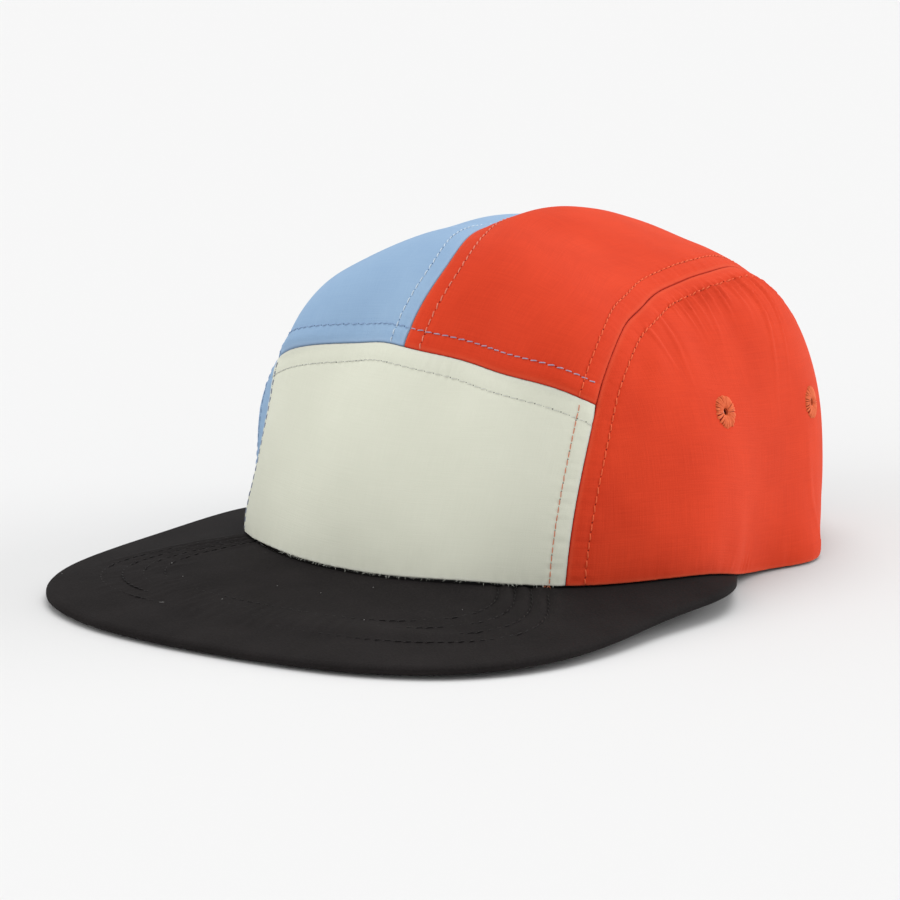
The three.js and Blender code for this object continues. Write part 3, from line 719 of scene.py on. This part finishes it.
def cotton(name, dye, worn, deep, valley, painted_bounce_shade, sheen, tint, bump):
    """Cotton in one colour. Bounced light sees a darker, greyer colour, painted shade, so the white
    table takes up only a little light from it and its shadows are deeper.
    """
    material, shader = new_finish(name)
    tree = material.node_tree
    flat = add_node(tree, "UVMap", {}, uv_map="cloth").outputs[0]
    edge = add_node(tree, "Attribute", {}, attribute_name="edge_shade").outputs["Fac"]
    seam = add_node(tree, "Attribute", {}, attribute_name="painted_seam_shade").outputs["Fac"]
    bounced = add_node(tree, "LightPath", {}).outputs["Is Diffuse Ray"]
    weave = add_node(tree, "Group", {}, node_tree=weave_group)
    feed(weave, {"Cloth Map": flat, "Edge": edge, "Dye": dye, "Worn Dye": worn, "Deep Dye": deep})
    # Towards the seams the colour goes over to the valley colour: painted shade in the seam valleys
    shaded = maths(tree, "MULTIPLY", seam, painted_seam_shade_strength)
    # Light that bounces off the cloth sees the darker bounce colour: painted shade that deepens the
    # shadows on the table
    colour = blended(tree, bounced, blended(tree, shaded, weave.outputs["Color"], valley), painted_bounce_shade)
    height = weave.outputs["Height"]
    rough_finish(shader, colour, height, bump, cotton_roughness, cotton_gloss)
    feed(shader, {"Sheen Weight": sheen, "Sheen Roughness": sheen_roughness, "Sheen Tint": tint})
    return material


def finish_piece(piece, material, node=None):
    """Gives a piece its material, hangs it under the cap's root, and hides the imported solid it
    stands for.
    """
    piece.data.materials.append(material)
    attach(piece, "root")
    if node:
        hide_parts(node)


# Each cotton: dye, worn dye, deep dye, the painted shade colour of its seam valleys, the darker
# colour bounced light sees (painted shade on the table), sheen, sheen tint and bump
cloths = {
    "off_white_cloth": cotton(
        "off_white_cotton", dye=(0.82, 0.83, 0.70), worn=(0.88, 0.88, 0.8),
        deep=(0.73, 0.745, 0.615), valley=(0.5, 0.49, 0.42), painted_bounce_shade=(0.5, 0.5, 0.45),
        sheen=0.04, tint=(1.0, 1.0, 1.0), bump=0.35),
    "orange_red_cloth": cotton(
        "orange_red_cotton", dye=(0.825, 0.066, 0.021), worn=(0.86, 0.15, 0.07),
        deep=(0.6, 0.036, 0.011), valley=(0.6, 0.01, 0.004), painted_bounce_shade=(0.25, 0.07, 0.05),
        sheen=0.05, tint=(1.0, 0.72, 0.38), bump=0.5),
    "light_blue_cloth": cotton(
        "light_blue_cotton", dye=(0.35, 0.515, 0.715), worn=(0.45, 0.6, 0.8),
        deep=(0.26, 0.41, 0.63), valley=(0.13, 0.21, 0.38), painted_bounce_shade=(0.2, 0.24, 0.28),
        sheen=0.03, tint=(1.0, 1.0, 1.0), bump=0.4),
}
for node, made in panels.items():
    finish_piece(made["piece"], cloths[made["slot"]], node)


# The stitch rows
# Lockstitch sewn on both sides of the seams after they were joined. Every stitch is a short
# twisted thread that dips into its own needle hole, and the row lies in a shallow valley.

# One stitch in mm: its length, its radius, and how far it stands up and slants
stitch_length, thread_radius, stitch_rise, stitch_slant = 2.35, 0.2, 0.16, 0.16
stitch_rings, stitch_sides = 9, 6
# How far a stitch dips at its ends, in mm, the twist of its thread, and how uneven its slant and
# its pitch are
stitch_dip, thread_twist, slant_change, pitch_change = 0.42, 0.9, 0.06, 0.02
# How far rows are carried past the ends of an edge, how near the cloth they stay, and how much
# they keep clear of the other edges
carried_steps, laid_within, row_clear = 14, 3.0 * mm, 0.6


def seam_offset(panel, side, inset):
    """A line inside a panel that keeps its distance from one of the panel's edges."""
    made = panels[panel]
    line, surface = made["lines"][side], made["surface"]
    ground, normals = made["ground"].reshape(-1, 3), made["normals"].reshape(-1, 3)
    run = run_along(line)
    even = np.linspace(0, run[-1], int(run[-1] / mm) + 1)
    line = np.stack([np.interp(even, run, line[:, axis]) for axis in range(3)], axis=1)
    heading = np.gradient(line, axis=0)
    soften(heading, 12)
    facing = normals[[((ground - point) ** 2).sum(1).argmin() for point in line]]
    inwards = unit(np.cross(facing, heading))
    misses = [
        sum(surface.find_nearest(Vector(spot))[3] for spot in (line + way * inwards * 4 * mm)[::8])
        for way in (1, -1)
    ]
    inwards *= 1 if misses[0] < misses[1] else -1
    path = []
    for point, into in zip(line, inwards):
        place, into = Vector(point), Vector(into)
        for _ in range(4):
            place, normal, _, _ = surface.find_nearest(place + into * (inset * mm / 4))
            into = (into - normal * into.dot(normal)).normalized()
        path.append(tuple(place))
    path = np.array(path)
    soften(path, 3)
    carried = np.arange(1, carried_steps + 1)[:, None]
    starts = path[0] + (path[0] - path[3]) / 3 * carried[::-1]
    ends = path[-1] + (path[-1] - path[-4]) / 3 * carried
    laid = []
    for point in np.concatenate([starts, path, ends]):
        place, normal, _, gap = surface.find_nearest(Vector(point))
        if gap < laid_within:
            laid.append((*place, *normal))
    laid = np.array(laid)
    clear = np.full(len(laid), 99.0)
    for other in made["lines"].values():
        clear = np.minimum(clear, measure(laid[None, :, :3], other)[0][0])
    return laid[clear > row_clear]


def tube_faces(rings, sides, base=0):
    """Faces of a tube of rings of points, closed at both ends."""
    faces = []
    for ring in range(rings - 1):
        for side in range(sides):
            a = base + ring * sides + side
            b = base + ring * sides + (side + 1) % sides
            faces.append((a, a + sides, b + sides, b))
    last = base + (rings - 1) * sides
    faces.append(tuple(range(base, base + sides)))
    faces.append(tuple(range(last + sides - 1, last - 1, -1)))
    return faces


def stitch_template():
    """Points of one stitch along X, 1 long and 1 in radius, with blunt ends."""
    places = []
    for ring in range(stitch_rings):
        share = -1 + 2 * ring / (stitch_rings - 1)
        girth = math.sqrt(max(1 - abs(share) ** 5, 0.06))
        for side in range(stitch_sides):
            angle = 2 * math.pi * (side / stitch_sides) + share * thread_twist
            places.append((share, girth * math.cos(angle), girth * math.sin(angle)))
    return np.array(places)


stitch_shape, stitch_faces = stitch_template(), tube_faces(stitch_rings, stitch_sides)


def sew(path, chance, pitch=stitch_pitch, length=stitch_length, radius=thread_radius,
        rise=stitch_rise, slant=stitch_slant):
    """Stitches and needle holes along a path of places and normals."""
    run = run_along(path[:, :3]) / mm
    share, aside, over = (stitch_shape[:, axis:axis + 1] for axis in range(3))
    stitches, holes = [], []
    start = 0.25
    while start + length < run[-1]:
        first, half, last = (
            np.array([np.interp(start + length * part, run, path[:, k]) for k in range(6)])
            for part in (0, 0.5, 1)
        )
        here, middle, there = first[:3], half[:3], last[:3]
        normal = unit(half[3:])
        reach = np.linalg.norm(there - here) / 2
        heading = unit(there - here)
        sideways = unit(np.cross(normal, heading))
        turn = chance.normal(slant, slant_change)
        heading, sideways = heading + turn * sideways, sideways - turn * heading
        sag = (middle - (here + there) / 2) @ normal
        lift = (rise - stitch_dip * np.abs(share) ** 4) * mm + sag * (1 - share ** 2)
        points = (here + there) / 2 + share * reach * heading + lift * normal
        stitches.append(points + radius * mm * (aside * sideways + over * normal))
        holes.append((np.concatenate([here - heading * 0.2 * mm, first[3:]]), heading))
        start += pitch * (1 + chance.normal(0, pitch_change))
    return stitches, holes


def thread_piece(name, stitches, material):
    """One mesh of all the stitches of one thread."""
    count = len(stitch_shape)
    faces = [
        tuple(corner + i * count for corner in face)
        for i in range(len(stitches)) for face in stitch_faces
    ]
    piece = new_piece(name, np.concatenate(stitches), faces)
    piece.data.shade_smooth()
    finish_piece(piece, material)


# A needle hole in mm: its least and greatest radius, and the height of its middle and its rim
hole_least, hole_most, hole_middle, hole_rim, hole_wall = 0.1, 0.25, 0.05, 0.07, 0.2


def hole_piece(name, holes, material):
    """Small dimples where the needle went through, coloured dark as painted shadow in the holes."""
    places, faces = [], []
    for spot, heading in holes:
        radius = chance.uniform(hole_least, hole_most)
        normal = unit(spot[3:])
        sideways = np.cross(normal, heading)
        base = len(places)
        places.append(spot[:3] + normal * hole_middle * mm)
        for corner in range(6):
            angle = corner * math.pi / 3
            edge = math.cos(angle) * heading + math.sin(angle) * sideways
            places.append(spot[:3] + edge * radius * mm + normal * hole_rim * mm)
        for corner in range(6):
            places.append(places[base + 1 + corner] - normal * hole_wall * mm)
        for corner in range(6):
            here, there = base + 1 + corner, base + 1 + (corner + 1) % 6
            faces.append((base, here, there))
            faces.append((here, here + 6, there + 6, there))
        faces.append(tuple(base + 12 - corner for corner in range(6)))
    finish_piece(new_piece(name, places, faces), material)


def thread_material(name, colour, dark):
    """Twisted thread: uneven in colour and height, with a soft shine."""
    material, shader = new_finish(name)
    tree = material.node_tree
    place = add_node(tree, "TexCoord", {}).outputs["Object"]
    noise = add_node(tree, "TexNoise", {"Vector": place, "Scale": 900.0, "Detail": 2.0})
    uneven_ply = noise.outputs["Fac"]
    rough_finish(shader, blended(tree, uneven_ply, dark, colour), uneven_ply, 0.5, 0.6, 0.2)
    return material


# Each thread: its bright and its dark colour
thread_dyes = {
    "coral": ((1.0, 0.2, 0.08), (0.85, 0.09, 0.03)),
    "orange": ((0.85, 0.27, 0.12), (0.6, 0.13, 0.05)),
    "pale_blue": ((0.40, 0.56, 0.8), (0.22, 0.34, 0.55)),
    "ice_blue": ((0.8, 0.9, 0.97), (0.55, 0.69, 0.86)),
    "lilac": ((0.62, 0.5, 0.6), (0.25, 0.2, 0.33)),
    "off_white": ((0.84, 0.84, 0.74), (0.6, 0.62, 0.56)),
    "slate": ((0.42, 0.47, 0.58), (0.16, 0.19, 0.28)),
    "shell": ((0.95, 0.38, 0.27), (0.8, 0.14, 0.07)),
}
threads = {
    name: thread_material(name + "_thread_finish", *dyes) for name, dyes in thread_dyes.items()
}
# Dark colours of the needle holes on each cloth: painted shadow in the holes
painted_hole_shadows = {
    "orange_red_cloth": thread_material(
        "red_needle_hole_painted_shadow", (0.24, 0.006, 0.004), (0.14, 0.003, 0.002)),
    "light_blue_cloth": thread_material(
        "blue_needle_hole_painted_shadow", (0.14, 0.22, 0.38), (0.09, 0.15, 0.28)),
    "off_white_cloth": thread_material(
        "white_needle_hole_painted_shadow", (0.25, 0.26, 0.22), (0.14, 0.15, 0.14)),
}

for made in panels.values():
    shape = bmesh.new()
    shape.from_mesh(made["piece"].data)
    made["surface"] = BVHTree.FromBMesh(shape)
    shape.free()

# Each row: panel, the edge that it follows, and thread
stitch_rows = [
    ("front_panel", "top", "off_white"),
    ("front_panel", "right", "orange"),
    ("front_panel", "left", "slate"),
    ("top_panel_left", "front", "lilac"),
    ("top_panel_right", "front", "pale_blue"),
    ("top_panel_left", "centre", "shell"),
    ("top_panel_right", "centre", "ice_blue"),
    ("top_panel_left", "side", "coral"),
    ("top_panel_right", "side", "pale_blue"),
    ("side_panel_left", "seam", "coral"),
    ("side_panel_right", "seam", "pale_blue"),
    ("top_panel_left", "arch", "coral"),
    ("top_panel_right", "arch", "pale_blue"),
]
# Threads that are finer than the rest or sewn closer, with what differs in their stitches
fine_threads = {
    "orange": {"pitch": 2.4, "radius": 0.13, "rise": 0.12, "slant": 0.03},
    "off_white": {"radius": 0.15},
}
thread_slots = {
    "coral": "coral_thread", "orange": "coral_thread", "shell": "coral_thread",
    "off_white": "off_white_cloth",
}
sewn, pierced = {}, {}
chance = np.random.default_rng(4)
for panel, side, thread in stitch_rows:
    row = seam_offset(panel, side, row_insets[side])
    stitches, holes = sew(row, chance, **fine_threads.get(thread, {}))
    sewn.setdefault(thread, []).extend(stitches)
    pierced.setdefault(panels[panel]["slot"], []).extend(holes)
for thread, stitches in sewn.items():
    slot = thread_slots.get(thread, "blue_thread")
    thread_piece(thread + "_stitches", stitches, threads[thread])
for slot, holes in pierced.items():
    hole_piece(slot + "_needle_holes", holes, painted_hole_shadows[slot])


# Loose fibres at the front hem
# The cut edge of the front panel is a little frayed where it meets the visor, and the orange
# thread ends there in a short tuft.


def fibre(points, faces, start, end, thickness):
    """A thin pointed fibre between two places."""
    heading = unit(end - start)
    aside = unit(np.cross(heading, (0.3, 0.5, 0.8))) * thickness
    over = np.cross(heading, aside)
    base, middle = len(points), start * 0.6 + end * 0.4
    points += [start, end, middle + aside, middle + over, middle - aside, middle - over]
    for corner in range(4):
        first, second = base + 2 + corner, base + 2 + (corner + 1) % 4
        faces += [(base, second, first), (base + 1, first, second)]


fray_thickness = 0.075 * mm
front = panels["front_panel"]
front_hem, front_facing = front["outer"][0], front["normals"][0]
# Name and number of the fibres, where they start and end along the hem, length in mm, thread, slot
for name, count, low, high, longest, thread, slot in (
    ("frayed_hem", 210, 0.28, 0.985, 1.6, "off_white", "off_white_cloth"),
    ("orange_tuft", 9, 0.94, 0.955, 2.2, "orange", "coral_thread"),
):
    points, faces = [], []
    for _ in range(count):
        spot = int(chance.uniform(low, high) * (len(front_hem) - 1))
        facing = front_facing[spot]
        start = front_hem[spot] + facing * 0.1 * mm
        start = start + np.array((0.0, 0.0, chance.uniform(0.1, 0.8))) * mm
        out = facing * chance.uniform(0.3, 0.9)
        way = unit(out + np.array((chance.normal(0, 0.5), chance.normal(0, 0.3), -0.5)))
        end = start + way * chance.uniform(0.4, 1.0) * longest * mm
        fibre(points, faces, start, end, fray_thickness)
    finish_piece(new_piece(name, points, faces), threads[thread])


# The vent eyelets
# Round holes worked over with satin stitch: many close threads run outwards over a padded ring,
# and the needle went down again and again around a small opening, dark from the cut hole and
# from painted shade on the ring's inner wall.

eyelet_opening, cut_wider = 1.15, 0.5
eyelet_threads, eyelet_steps, thread_sides = 42, 40, 6
# Eyelets are a little wider than high, and their threads lie a little unevenly
eyelet_width, uneven_turn, uneven_end, uneven_twist = 1.1, 0.16, 0.16, 0.02
# The ring under the threads: distance from the middle and height in mm
ring_profile = [
    (eyelet_opening, -1.2), (eyelet_opening, 0.0), (1.7, 0.22), (2.7, 0.26), (3.9, 0.22),
    (4.7, 0.05), (4.8, -0.2),
]
# A thread over the ring: its place from end to end, distance from the middle, and height in mm
thread_path = [
    (-1.0, 1.1, -0.5), (-0.86, 1.2, 0.05), (-0.5, 2.0, 0.4), (0.0, 3.1, 0.48), (0.5, 4.2, 0.42),
    (0.86, 5.0, 0.16), (1.0, 5.2, -0.3),
]
# Each eyelet: its panel and the colour of its thread
eyelet_nodes = {
    "eyelet_left_front": ("side_panel_left", "coral"),
    "eyelet_left_rear": ("side_panel_left", "coral"),
    "eyelet_right_front": ("side_panel_right", "blue"),
    "eyelet_right_rear": ("side_panel_right", "blue"),
}
# Bright and dark colour of the threads, and the dark colour of the ring under them: painted shade
# in the opening and between the threads
eyelet_finishes = {
    "coral": (
        thread_material("coral_eyelet_finish", (0.95, 0.225, 0.08), (0.74, 0.11, 0.032)),
        thread_material("coral_eyelet_bed_painted_shade", (0.4, 0.02, 0.006), (0.25, 0.01, 0.004)),
    ),
    "blue": (
        thread_material("blue_eyelet_finish", (0.33, 0.47, 0.72), (0.17, 0.27, 0.46)),
        thread_material("blue_eyelet_bed_painted_shade", (0.1, 0.16, 0.28), (0.06, 0.1, 0.2)),
    ),
}


def points_of(piece):
    """The places of all points of a mesh object."""
    return np.array([tuple(point.co) for point in piece.data.vertices])


def open_cloth(piece, centre, axis, radius):
    """Cuts a round opening through both faces of a cloth piece and closes its wall."""
    shape = bmesh.new()
    shape.from_mesh(piece.data)
    centre, axis = Vector(centre), Vector(axis)
    inside = []
    for face in shape.faces:
        away = face.calc_center_median() - centre
        depth = away.dot(axis)
        if abs(depth) < 4 * mm and (away - axis * depth).length < radius * mm:
            inside.append(face)
    bmesh.ops.delete(shape, geom=inside, context="FACES")
    bmesh.ops.bridge_loops(shape, edges=[edge for edge in shape.edges if edge.is_boundary])
    bmesh.ops.recalc_face_normals(shape, faces=shape.faces)
    shape.to_mesh(piece.data)
    shape.free()


for number, (node, (panel, colour)) in enumerate(eyelet_nodes.items()):
    made = panels[panel]
    middle = points_of(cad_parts[node]).mean(0)
    place = np.array(made["surface"].find_nearest(Vector(middle))[0])
    axis = made["normals"].reshape(-1, 3)[((made["ground"] - place) ** 2).sum(2).argmin()]
    upright = unit(np.array((0.0, 0.0, 1.0)) - axis * axis[2])
    level = np.cross(upright, axis)
    chance = np.random.default_rng(30 + number)
    points, faces = [], []

    def lay(angle, away, lift):
        """A point of the eyelet: on the panel, at an angle and a distance in mm, and lifted."""
        out = eyelet_width * math.cos(angle) * level + math.sin(angle) * upright
        ground = made["surface"].find_nearest(Vector(place + out * away * mm))[0]
        return np.array(ground) + axis * lift * mm

    high = len(ring_profile)
    for step in range(eyelet_steps):
        angle = 2 * math.pi * step / eyelet_steps
        points.extend(lay(angle, away, lift) for away, lift in ring_profile)
    for step in range(eyelet_steps):
        a, b = step * high, (step + 1) % eyelet_steps * high
        for ring in range(high):
            after = (ring + 1) % high
            faces.append((a + ring, b + ring, b + after, a + after))
    bed_faces = len(faces)
    for thread in range(eyelet_threads):
        angle = 2 * math.pi * (thread + chance.normal(0, uneven_turn)) / eyelet_threads
        outer_end = chance.normal(0, uneven_end)
        twist = chance.normal(0, uneven_twist)
        faces += tube_faces(len(thread_path), thread_sides, len(points))
        for share, away, lift in thread_path:
            out = away + outer_end * max(share, 0)
            width = 0.112 * away + 0.05
            for side in range(thread_sides):
                turn = 2 * math.pi * side / thread_sides
                sway = math.cos(turn) * width * 0.5 / away
                rise = lift + math.sin(turn) * (0.1 + 0.035 * away)
                points.append(lay(angle + twist * share + sway, out, rise))
    ring = new_piece(node + "_stitched", points, faces)
    ring.data.shade_smooth()
    face_outwards(ring)
    thread_finish, bed_painted_shade = eyelet_finishes[colour]
    finish_piece(ring, thread_finish, node)
    # The ring under the threads is coloured dark: painted shade between the threads and in the
    # opening
    ring.data.materials.append(bed_painted_shade)
    for face in ring.data.polygons:
        face.material_index = 1 if face.index < bed_faces else 0
    open_cloth(made["piece"], place, axis, eyelet_opening + cut_wider)


# The visor
# A flat stiff board in a black cotton cover, turned over the rim, with rows of black stitches
# that follow the rim across the middle of the board.

cover_edge, crease_hold = math.radians(50.0), 0.75


def smooth_copy(node, name, levels, crease_angle=cover_edge):
    """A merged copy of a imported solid, subdivided, with its sharp edges kept tight."""
    piece = bpy.data.objects.new(name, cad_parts[node].data.copy())
    bpy.context.scene.collection.objects.link(piece)
    piece.data.materials.clear()
    edit_all(piece)
    bpy.ops.mesh.remove_doubles(threshold=merged_below)
    bpy.ops.mesh.customdata_custom_splitnormals_clear()
    bpy.ops.mesh.tris_convert_to_quads(
        face_threshold=math.radians(60.0), shape_threshold=math.radians(180.0),
        topology_influence=1.0)
    bpy.ops.object.mode_set(mode="OBJECT")
    shape = bmesh.new()
    shape.from_mesh(piece.data)
    crease = shape.edges.layers.float.new("crease_edge")
    for edge in shape.edges:
        if len(edge.link_faces) == 2 and edge.calc_face_angle(0.0) > crease_angle:
            edge[crease] = crease_hold
    shape.to_mesh(piece.data)
    shape.free()
    rounding = piece.modifiers.new("rounding", "SUBSURF")
    rounding.levels = levels
    rounding.render_levels = levels
    bpy.ops.object.modifier_apply(modifier=rounding.name)
    bpy.ops.object.shade_smooth_by_angle(angle=cover_edge)
    return piece


def dark_finish(name, colour, worn, roughness, bump, grain, ribs=None, gloss=0.12):
    """Dark cloth or plastic on object coordinates: fine grain, a little fading, and ribs."""
    material, shader = new_finish(name)
    tree = material.node_tree
    place = add_node(tree, "TexCoord", {}).outputs["Object"]
    fine = stretched_noise(tree, place, (1 / grain,) * 3, 2.0)
    broad = stretched_noise(tree, place, (55.0, 55.0, 55.0), 3.0)
    level = maths(tree, "MULTIPLY", maths(tree, "ADD", fine, broad), 0.5)
    height = fine
    if ribs:
        ways = add_node(tree, "SeparateXYZ", {0: place}).outputs
        across, along = (waves(tree, ways[way], 2 * math.pi / ribs) for way in "XZ")
        height = maths(tree, "ADD", fine, maths(tree, "MULTIPLY", across, along))
    rough_finish(shader, blended(tree, level, colour, worn), height, bump, roughness, gloss)
    return material


def move_points(piece, points):
    """Puts the points of a mesh object at new places."""
    piece.data.vertices.foreach_set("co", points.astype(np.float32).ravel())
    piece.data.update()


black_cotton = dark_finish(
    "black_cotton", (0.002, 0.0015, 0.0015), (0.028, 0.024, 0.024), 0.9, 1.0, 0.0006)
visor = smooth_copy("visor", "visor_cover", 3)

# The right end of the board is a little narrower and lies a little higher: place, reach and move
end_place, end_reach, end_move = (94, -32, 4), 24, np.array((-2.6, 1.0, 0.6))
cover = points_of(visor)[None]
cover = cover + fade_from(cover, end_place, end_reach)[:, :, None] * end_move * mm
move_points(visor, cover[0])

# The outermost stitch row on the board, point by point in mm, and the size of each row around
# their middle
visor_row = np.array([
    (-60, -45), (-69, -57), (-76, -71), (-78, -85), (-71, -98), (-56, -107), (-32, -111),
    (-4, -111.5), (24, -110), (48, -104), (65, -93), (73, -79), (72, -65), (66, -54), (59, -45),
], dtype=float)
visor_row_sizes = (1.0, 0.915, 0.83, 0.745)
visor_row_middle = np.array((-1.0, -62.0))
visor_row_steps = 240
board = BVHTree.FromPolygons(
    [point.co.copy() for point in visor.data.vertices],
    [tuple(face.vertices) for face in visor.data.polygons])


def on_board(x, y):
    """The place on top of the visor over a spot in mm, and its normal."""
    return board.ray_cast(Vector((x * mm, y * mm, 0.05)), Vector((0.0, 0.0, -1.0)))[:2]


black_paths = []
for size in visor_row_sizes:
    outline = visor_row_middle + (visor_row - visor_row_middle) * size
    places = np.linspace(0, len(outline) - 1, visor_row_steps)
    spots = [on_board(x, y) for x, y in spline_weights(len(outline), places) @ outline]
    black_paths.append(np.array([(*place, *normal) for place, normal in spots if place]))

# The cover is drawn in along the rows and swells a little between them: depth, half width and
# pitch of the dents, then height, distance and half width of the swell, in mm
dent_depth, dent_half, visor_pitch = 0.38, 0.8, 3.1
swell_rise, swell_from, swell_half = 0.26, 2.4, 1.2
spots = points_of(visor)
facing = np.array([tuple(point.normal) for point in visor.data.vertices])
drawn_in = np.zeros(len(spots))
for number, path in enumerate(black_paths):
    distance, place, _ = (found[0] for found in measure(spots[None], path[:, :3]))
    dents = 0.8 + 0.35 * np.cos(2 * math.pi * place / visor_pitch)
    swells = 1 + 0.7 * uneven(place, (2.9, 5.3), 140 + number)
    drawn_in -= dent_depth * bell(distance, dent_half) * dents
    drawn_in += swell_rise * bell(distance - swell_from, swell_half) * swells
drawn_in *= facing[:, 2] > 0.5
move_points(visor, spots + facing * (drawn_in * mm)[:, None])
finish_piece(visor, black_cotton, "visor")

black_thread = thread_material(
    "black_thread_finish", (0.016, 0.0135, 0.0135), (0.006, 0.005, 0.005))
# Dark colour of the needle holes on the visor: painted shadow in the holes
painted_hole_shadow = thread_material("needle_hole_painted_shadow", (0.02, 0.016, 0.018), (0.01, 0.008, 0.01))
sunk = 0.1 * mm
black_stitches, black_holes = [], []
for path in black_paths:
    path[:, 2] -= sunk
    stitches, holes = sew(path, chance, pitch=visor_pitch, length=2.4)
    black_stitches.extend(stitches)
    black_holes.extend(holes)
thread_piece("visor_stitches", black_stitches, black_thread)
hole_piece("visor_needle_holes", black_holes, painted_hole_shadow)

# Specks of pale lint and one short fibre that cling to the cover: place in mm and half length
lint = [
    (-88, -97, 0.35), (-12, -85, 0.3), (4, -84, 0.3), (14, -99, 0.45), (-20, -101, 0.3),
    (62, -62, 0.4), (16, -74, 0.3), (-45, -90, 0.25), (30, -96, 0.25), (50, -75, 0.25),
    (-58, -80, 0.25), (-34, -110, 2.6),
]
lint_lift, lint_thickness, fibre_turn = 0.15, 0.12, 0.64
points, faces = [], []
for x, y, half in lint:
    place, normal = (np.array(found) for found in on_board(x, y))
    turn = chance.uniform(0.0, math.pi) if half < 1 else fibre_turn
    along = np.array((math.cos(turn), math.sin(turn), 0.0)) * half * mm
    middle = place + normal * lint_lift * mm
    fibre(points, faces, middle - along, middle + along, min(half * 0.6, lint_thickness) * mm)
pale_lint = thread_material("pale_lint", (0.5, 0.5, 0.48), (0.25, 0.25, 0.25))
finish_piece(new_piece("visor_lint", points, faces), pale_lint)


# The sweatband
# A folded band of black cotton sewn inside the hem, where it lies against the head and keeps
# the opening in shape.

lining = dark_finish(
    "black_lining_cotton", (0.008, 0.007, 0.007), (0.026, 0.024, 0.024), 0.88, 0.5, 0.0005)
band = smooth_copy("sweatband", "sweatband_folded", 2)
finish_piece(band, lining, "sweatband")


# The back strap and its buckle
# A flat black webbing strap across the arch, with a plain slide buckle of satin black plastic.
# The ends of the strap are held between the panels and the sweatband.

webbing = dark_finish(
    "black_webbing_weave", (0.009, 0.009, 0.009), (0.03, 0.03, 0.031), 0.8, 0.9, 0.0006,
    ribs=0.0016)
strap = smooth_copy("back_strap", "back_strap_webbing", 2)
finish_piece(strap, webbing, "back_strap")

plastic = dark_finish(
    "satin_black_plastic", (0.012, 0.012, 0.013), (0.018, 0.018, 0.019), 0.45, 0.15, 0.0003,
    gloss=0.45)
buckle = smooth_copy("strap_buckle", "strap_buckle_moulded", 2, math.radians(30.0))
finish_piece(buckle, plastic, "strap_buckle")
